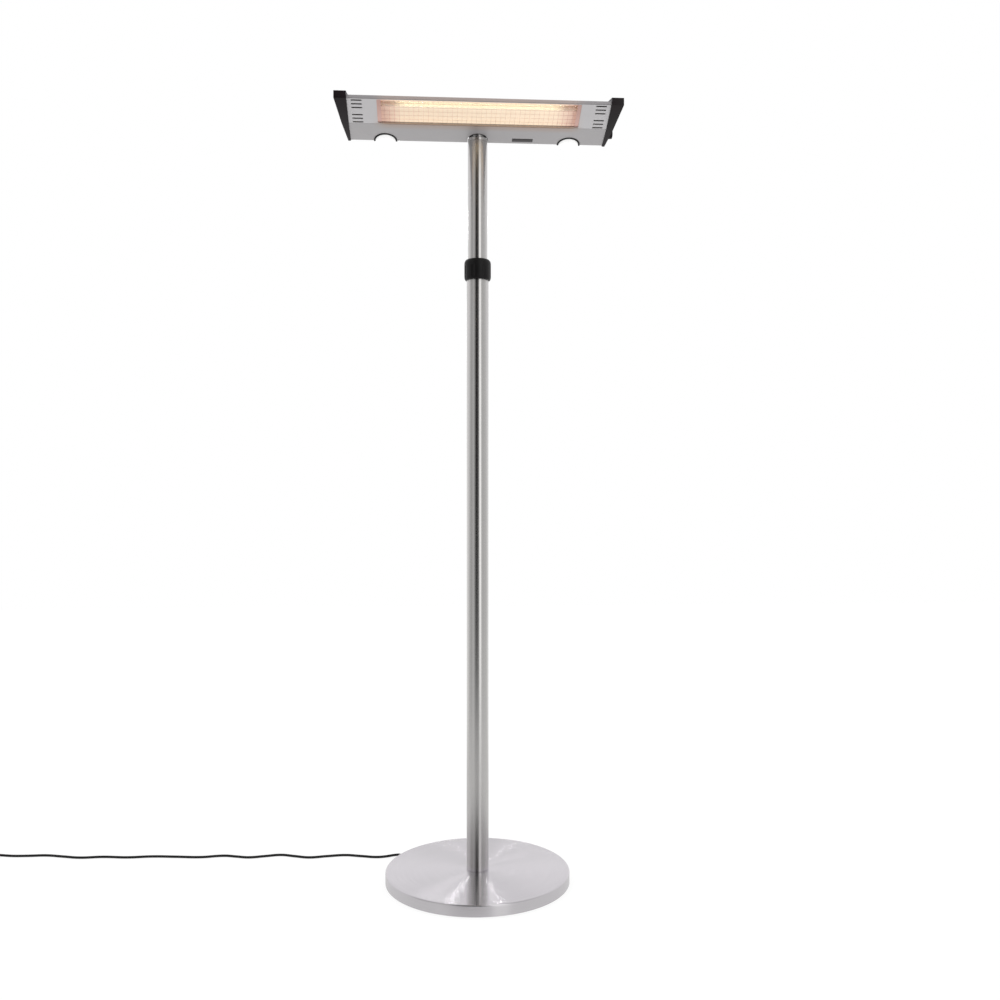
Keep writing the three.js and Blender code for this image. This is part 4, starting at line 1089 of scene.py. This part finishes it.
def make_end_cap(name, side):
    """The splayed cap: its outer face leans out towards the nose."""
    def outer(vert):
        return vert.co.x > cap_rear_face - 1e-5

    outline = offset_outline(shell_path, -cap_lip)
    outline[:2] = cap_nose
    bm = extruded(outline, cap_inside, cap_rear_face)
    bmesh.ops.bisect_plane(
        bm, geom=bm.verts[:] + bm.edges[:] + bm.faces[:], dist=1e-6,
        plane_co=(0, lowest[0], 0), plane_no=(0, 1, 0),
    )
    for vert in filter(outer, bm.verts):
        vert.co.x += max(0, (lowest[0] - vert.co.y) * cap_slope)
    soften(bm, 0.0016, 4, over=25, where=lambda edge: any(map(outer, edge.verts)))
    if side > 0:
        boss = soften(rod(boss_radius, cap_inside, boss_face, 64), 0.0008, 3, over=60)
        bm = together(bm, along_x(boss, knob_y, knob_z))
    return shade(piece_from(name, bm if side > 0 else mirrored(bm)))


def make_cap_screw(name, side):
    """A pan head screw with a cross recess."""
    seat, shank, head = cap_rear_face + gap, 0.0020, 0.0040
    profile = [
        (0, screw_start), (shank, screw_start), (shank, seat), (head, seat),
        (head, seat + 0.0009), (0.0036, seat + 0.0017), (0.0026, seat + 0.0022),
        (0, seat + 0.0024),
    ]
    screw = piece_from(name, along_x(turned(profile, 40), screw_y, screw_z))
    for turn in (pi / 4, -pi / 4):
        bar = block((seat + 0.0010, -0.0022, -0.0004), (seat + past, 0.0022, 0.0004))
        bar.transform(Matrix.Rotation(turn, 4, "X"))
        cut_from(screw, shifted(bar, 0, screw_y, screw_z))
    if side < 0:
        screw.data.transform(Matrix.Scale(-1, 4, (1, 0, 0)))
        screw.data.flip_normals()
    return shade(screw)


def make_knob():
    """The fluted knob, with a raised pointer that stands upright when it is off."""
    start, shaft = boss_face + gap, 0.004
    end = start + knob_height
    body = turned([
        (0, shaft_start), (shaft, shaft_start), (shaft, start), (knob_radius, start),
        (knob_radius, start + 0.0025), (knob_radius - 0.0008, start + 0.0030),
        (knob_radius - 0.0012, end - 0.0015), (knob_radius - 0.0018, end - 0.0006),
        (knob_radius - 0.0027, end), (0, end - 0.0002),
    ], 96)
    knob = piece_from("fluted_knob", body)
    count, reach = 18, knob_radius - 0.0001
    flutes = []
    for i in range(count):
        turn = (i + 0.5) * 2 * pi / count
        flute = rod(0.0016, start + 0.0032, end + past, 16)
        flutes.append(shifted(flute, reach * cos(turn), reach * sin(turn), 0))
    cut_from(knob, together(*flutes))
    knob.data.transform(Matrix.Translation((0, knob_y, knob_z)) @ Matrix.Rotation(pi / 2, 4, "Y"))
    pointer = block((end - 0.001, -0.0015, 0.0005), (end + 0.001, 0.0015, knob_radius - 0.003))
    pointer = shifted(soften(pointer, 0.0005, 3), 0, knob_y, knob_z)
    return shade(put_back(knob, together(shape_of(knob), pointer)))


dress(make_end_cap("splayed_cap_left", -1), "head", "end_cap_left")
dress(make_end_cap("splayed_cap_right", 1), "head", "end_cap_right")
dress(make_cap_screw("cross_screw_left", -1), "head", "end_screw_left")
dress(make_cap_screw("cross_screw_right", 1), "head", "end_screw_right")
dress(make_knob(), "knob", "power_knob")

# ------------------------------------ head: lamps and window


def make_lamp(name, x):
    """The lamp's can. Its rim follows the lower panel in front and stands free at the rear."""
    inner, ceiling, seat = lamp_radius - lamp_wall, lamp_top - lamp_wall, lens_seat - gap
    bm = turned([
        (lamp_mouth, lamp_bottom), (lamp_radius, lamp_bottom), (lamp_radius, lamp_top),
        (lamp_lead_hole, lamp_top), (lamp_lead_hole, ceiling), (inner, ceiling), (inner, seat),
        (lamp_mouth, seat),
    ], 96, ring=True)
    can = piece_from(name, shifted(bm, x, lowest[0], 0))
    reach = 0.04
    ends = (-reach, lower_length + lamp_rim)
    front, edge = (lower_frame @ Vector((0, along, -lamp_rim)) for along in ends)
    step, rear, high = lowest[0] + lamp_step, lowest[0] + reach, lowest[1] + lamp_step_rise
    below_rim = [
        (front.y, front.z), (edge.y, edge.z), (step, high), (rear, high),
        (rear, below_head), (front.y, below_head),
    ]
    cut_from(can, extruded(below_rim, x - reach, x + reach))
    bm = shape_of(can)
    bmesh.ops.remove_doubles(bm, verts=bm.verts, dist=1e-6)
    return shade(put_back(can, soften(bm, fine_edge, 2, over=60)))


def make_lens(name, x):
    """A frosted dome with fine rings moulded on it, under a drum with a flange."""
    profile = []
    for i in range(25):
        turn = i / 24 * pi / 2
        ring = lens_ring if 2 < i < 20 and i % 2 else 0.0
        profile.append((lens_radius * sin(turn), lamp_bottom - lens_drop * cos(turn) + ring))
    profile += [
        (lens_radius, lens_seat), (lens_flange, lens_seat),
        (lens_flange, lens_flange_top), (0, lens_flange_top),
    ]
    return shade(piece_from(name, shifted(turned(profile, 96), x, lowest[0], 0)))


def make_window():
    end = lower_length - window_from_lowest
    low, high = -0.0004, 0.003
    bm = block((window_left, end - window_depth, low), (window_left + window_length, end, high))
    return shade(piece_from("dark_window", moved(soften(bm, 0.0003, 3), lower_frame)))


for name, x in (("left", -lamp_x), ("right", lamp_x)):
    dress(make_lamp(f"lamp_can_{name}", x), "head", f"lamp_housing_{name}")
    dress(make_lens(f"frosted_lens_{name}", x), "head", f"lamp_lens_{name}")
dress(make_window(), "head", "receiver_window")

# ------------------------------------ pieces kept from the frame

for name, node in frame["nodes"].items():
    if not node.hide_render:
        node.data.materials.clear()
        node.data.materials.append(finishes[slot_of[name]])

# ------------------------------------ floor, surroundings and lamps

# The brightness at each bearing from the front, in degrees: a dark gap between two screens.
bearings = [
    (-180, 1.1), (-125, 0.97), (-106, 0.74), (-90, 0.57), (-76, 0.47), (-62, 0.50),
    (-50, 0.62), (-40, 0.52), (-30, 0.22), (-21, 0.02), (-8, 0.02), (3, 0.09), (12, 0.42),
    (19, 1.4), (31, 1.45), (40, 0.68), (56, 0.60), (76, 0.66), (100, 0.68), (120, 0.88),
    (150, 1.08), (180, 1.1),
]


def mirrored_bands(tree, direction):
    """What the steel mirrors in a direction."""
    x, y, _ = axes(tree, direction)
    bearing = maths(tree, "ARCTAN2", x, times(tree, y, -1.0))
    share = plus(tree, maths(tree, "DIVIDE", bearing, 2 * pi), 0.5)
    return ramp(tree, share, [(at / 360 + 0.5, (level,) * 3) for at, level in bearings])


def rays(tree):
    """The share of glossy rays, and of those that go to the camera, also through glass."""
    path = put(tree, "ShaderNodeLightPath").outputs
    seen = maths(tree, "MAXIMUM", path["Is Camera Ray"], path["Is Transmission Ray"])
    return path["Is Glossy Ray"], seen


def tone(tree, kind, colour, **strength):
    """A shader in a grey or in a colour that another node gives."""
    if not isinstance(colour, bpy.types.NodeSocket):
        colour = (colour, colour, colour, 1)
    return put(tree, kind, {"Color": colour, **strength}).outputs[0]


def either(tree, factor, shader, other):
    return put(tree, "ShaderNodeMixShader", {0: factor, 1: shader, 2: other}).outputs[0]


def make_floor():
    """A floor that is pale to the camera, grey to the light, and banded in the steel."""
    size, near_by, far_off = 7, 0.7, 1.7
    bm = bmesh.new()
    bmesh.ops.create_grid(bm, x_segments=1, y_segments=1, size=size)
    floor = piece_from("floor", bm)
    material = bpy.data.materials.new("pale_floor")
    material.use_nodes = True
    tree = material.node_tree
    tree.nodes.clear()
    glossy, seen = rays(tree)
    place = spot(tree)
    plain = tone(tree, "ShaderNodeBsdfDiffuse", 0.80)
    paper = tone(tree, "ShaderNodeBsdfDiffuse", 0.22)
    white = tone(tree, "ShaderNodeEmission", 1, Strength=0.84)
    pale = put(tree, "ShaderNodeAddShader", {0: paper, 1: white}).outputs[0]
    near = tone(tree, "ShaderNodeEmission", 1, Strength=0.78)
    bands = tone(tree, "ShaderNodeEmission", mirrored_bands(tree, place), Strength=1.0)
    distance = vector_maths(tree, "LENGTH", {0: place})["Value"]
    in_steel = either(tree, between(tree, distance, near_by, far_off), near, bands)
    surface = either(tree, seen, either(tree, glossy, plain, in_steel), pale)
    put(tree, "ShaderNodeOutputMaterial", {"Surface": surface})
    floor.data.materials.append(material)


def make_surroundings():
    """A white room, whose light and dark bands only the steel mirrors."""
    world = bpy.data.worlds.new("studio")
    bpy.context.scene.world = world
    world.use_nodes = True
    tree = world.node_tree
    tree.nodes.clear()
    glossy, seen = rays(tree)
    direction = put(tree, "ShaderNodeTexCoord").outputs["Generated"]
    _, y, z = axes(tree, direction)
    high_behind = times(tree, between(tree, y, -0.1, 0.35), between(tree, z, 0.10, 0.30))
    bands = mixed(tree, high_behind, mirrored_bands(tree, direction), (0.92, 0.91, 0.93))
    in_steel = tone(tree, "ShaderNodeBackground", bands, Strength=1.0)
    soft = tone(tree, "ShaderNodeBackground", 0.80, Strength=1.0)
    white = tone(tree, "ShaderNodeBackground", 1, Strength=1.0)
    surface = either(tree, seen, either(tree, glossy, soft, in_steel), white)
    put(tree, "ShaderNodeOutputWorld", {"Surface": surface})


def make_light(name, bearing, elevation, distance, size, power, target, glossy=True):
    """A soft box at a bearing from the front, aimed at a point."""
    data = bpy.data.lights.new(name, "AREA")
    data.size = size
    data.energy = power
    light = linked(name, data)
    turn, rise = radians(bearing), radians(elevation)
    toward = Vector((sin(turn) * cos(rise), -cos(turn) * cos(rise), sin(rise)))
    light.location = Vector(target) + toward * distance
    light.rotation_euler = toward.to_track_quat("Z", "Y").to_euler()
    light.visible_glossy = glossy


make_floor()
make_surroundings()
mast_middle, base_middle = (0, 0, 1.0), (0, 0, base_top)
make_light("soft_key", -48, 38, 3.6, 1.6, 12, mast_middle, glossy=False)
make_light("soft_fill", 60, 30, 3.8, 1.8, 6, mast_middle, glossy=False)
# Two small lamps behind draw the bright rays on the brushed base, and a wide one a faint one.
make_light("ray_right", 168.9, 50, 3.0, 0.07, 0.6, base_middle)
make_light("ray_left", -170.9, 50, 3.0, 0.11, 1.0, base_middle)
make_light("broad_ray", -169, 40, 3.0, 0.4, 0.5, base_middle)

bpy.context.scene.view_settings.view_transform = "Standard"
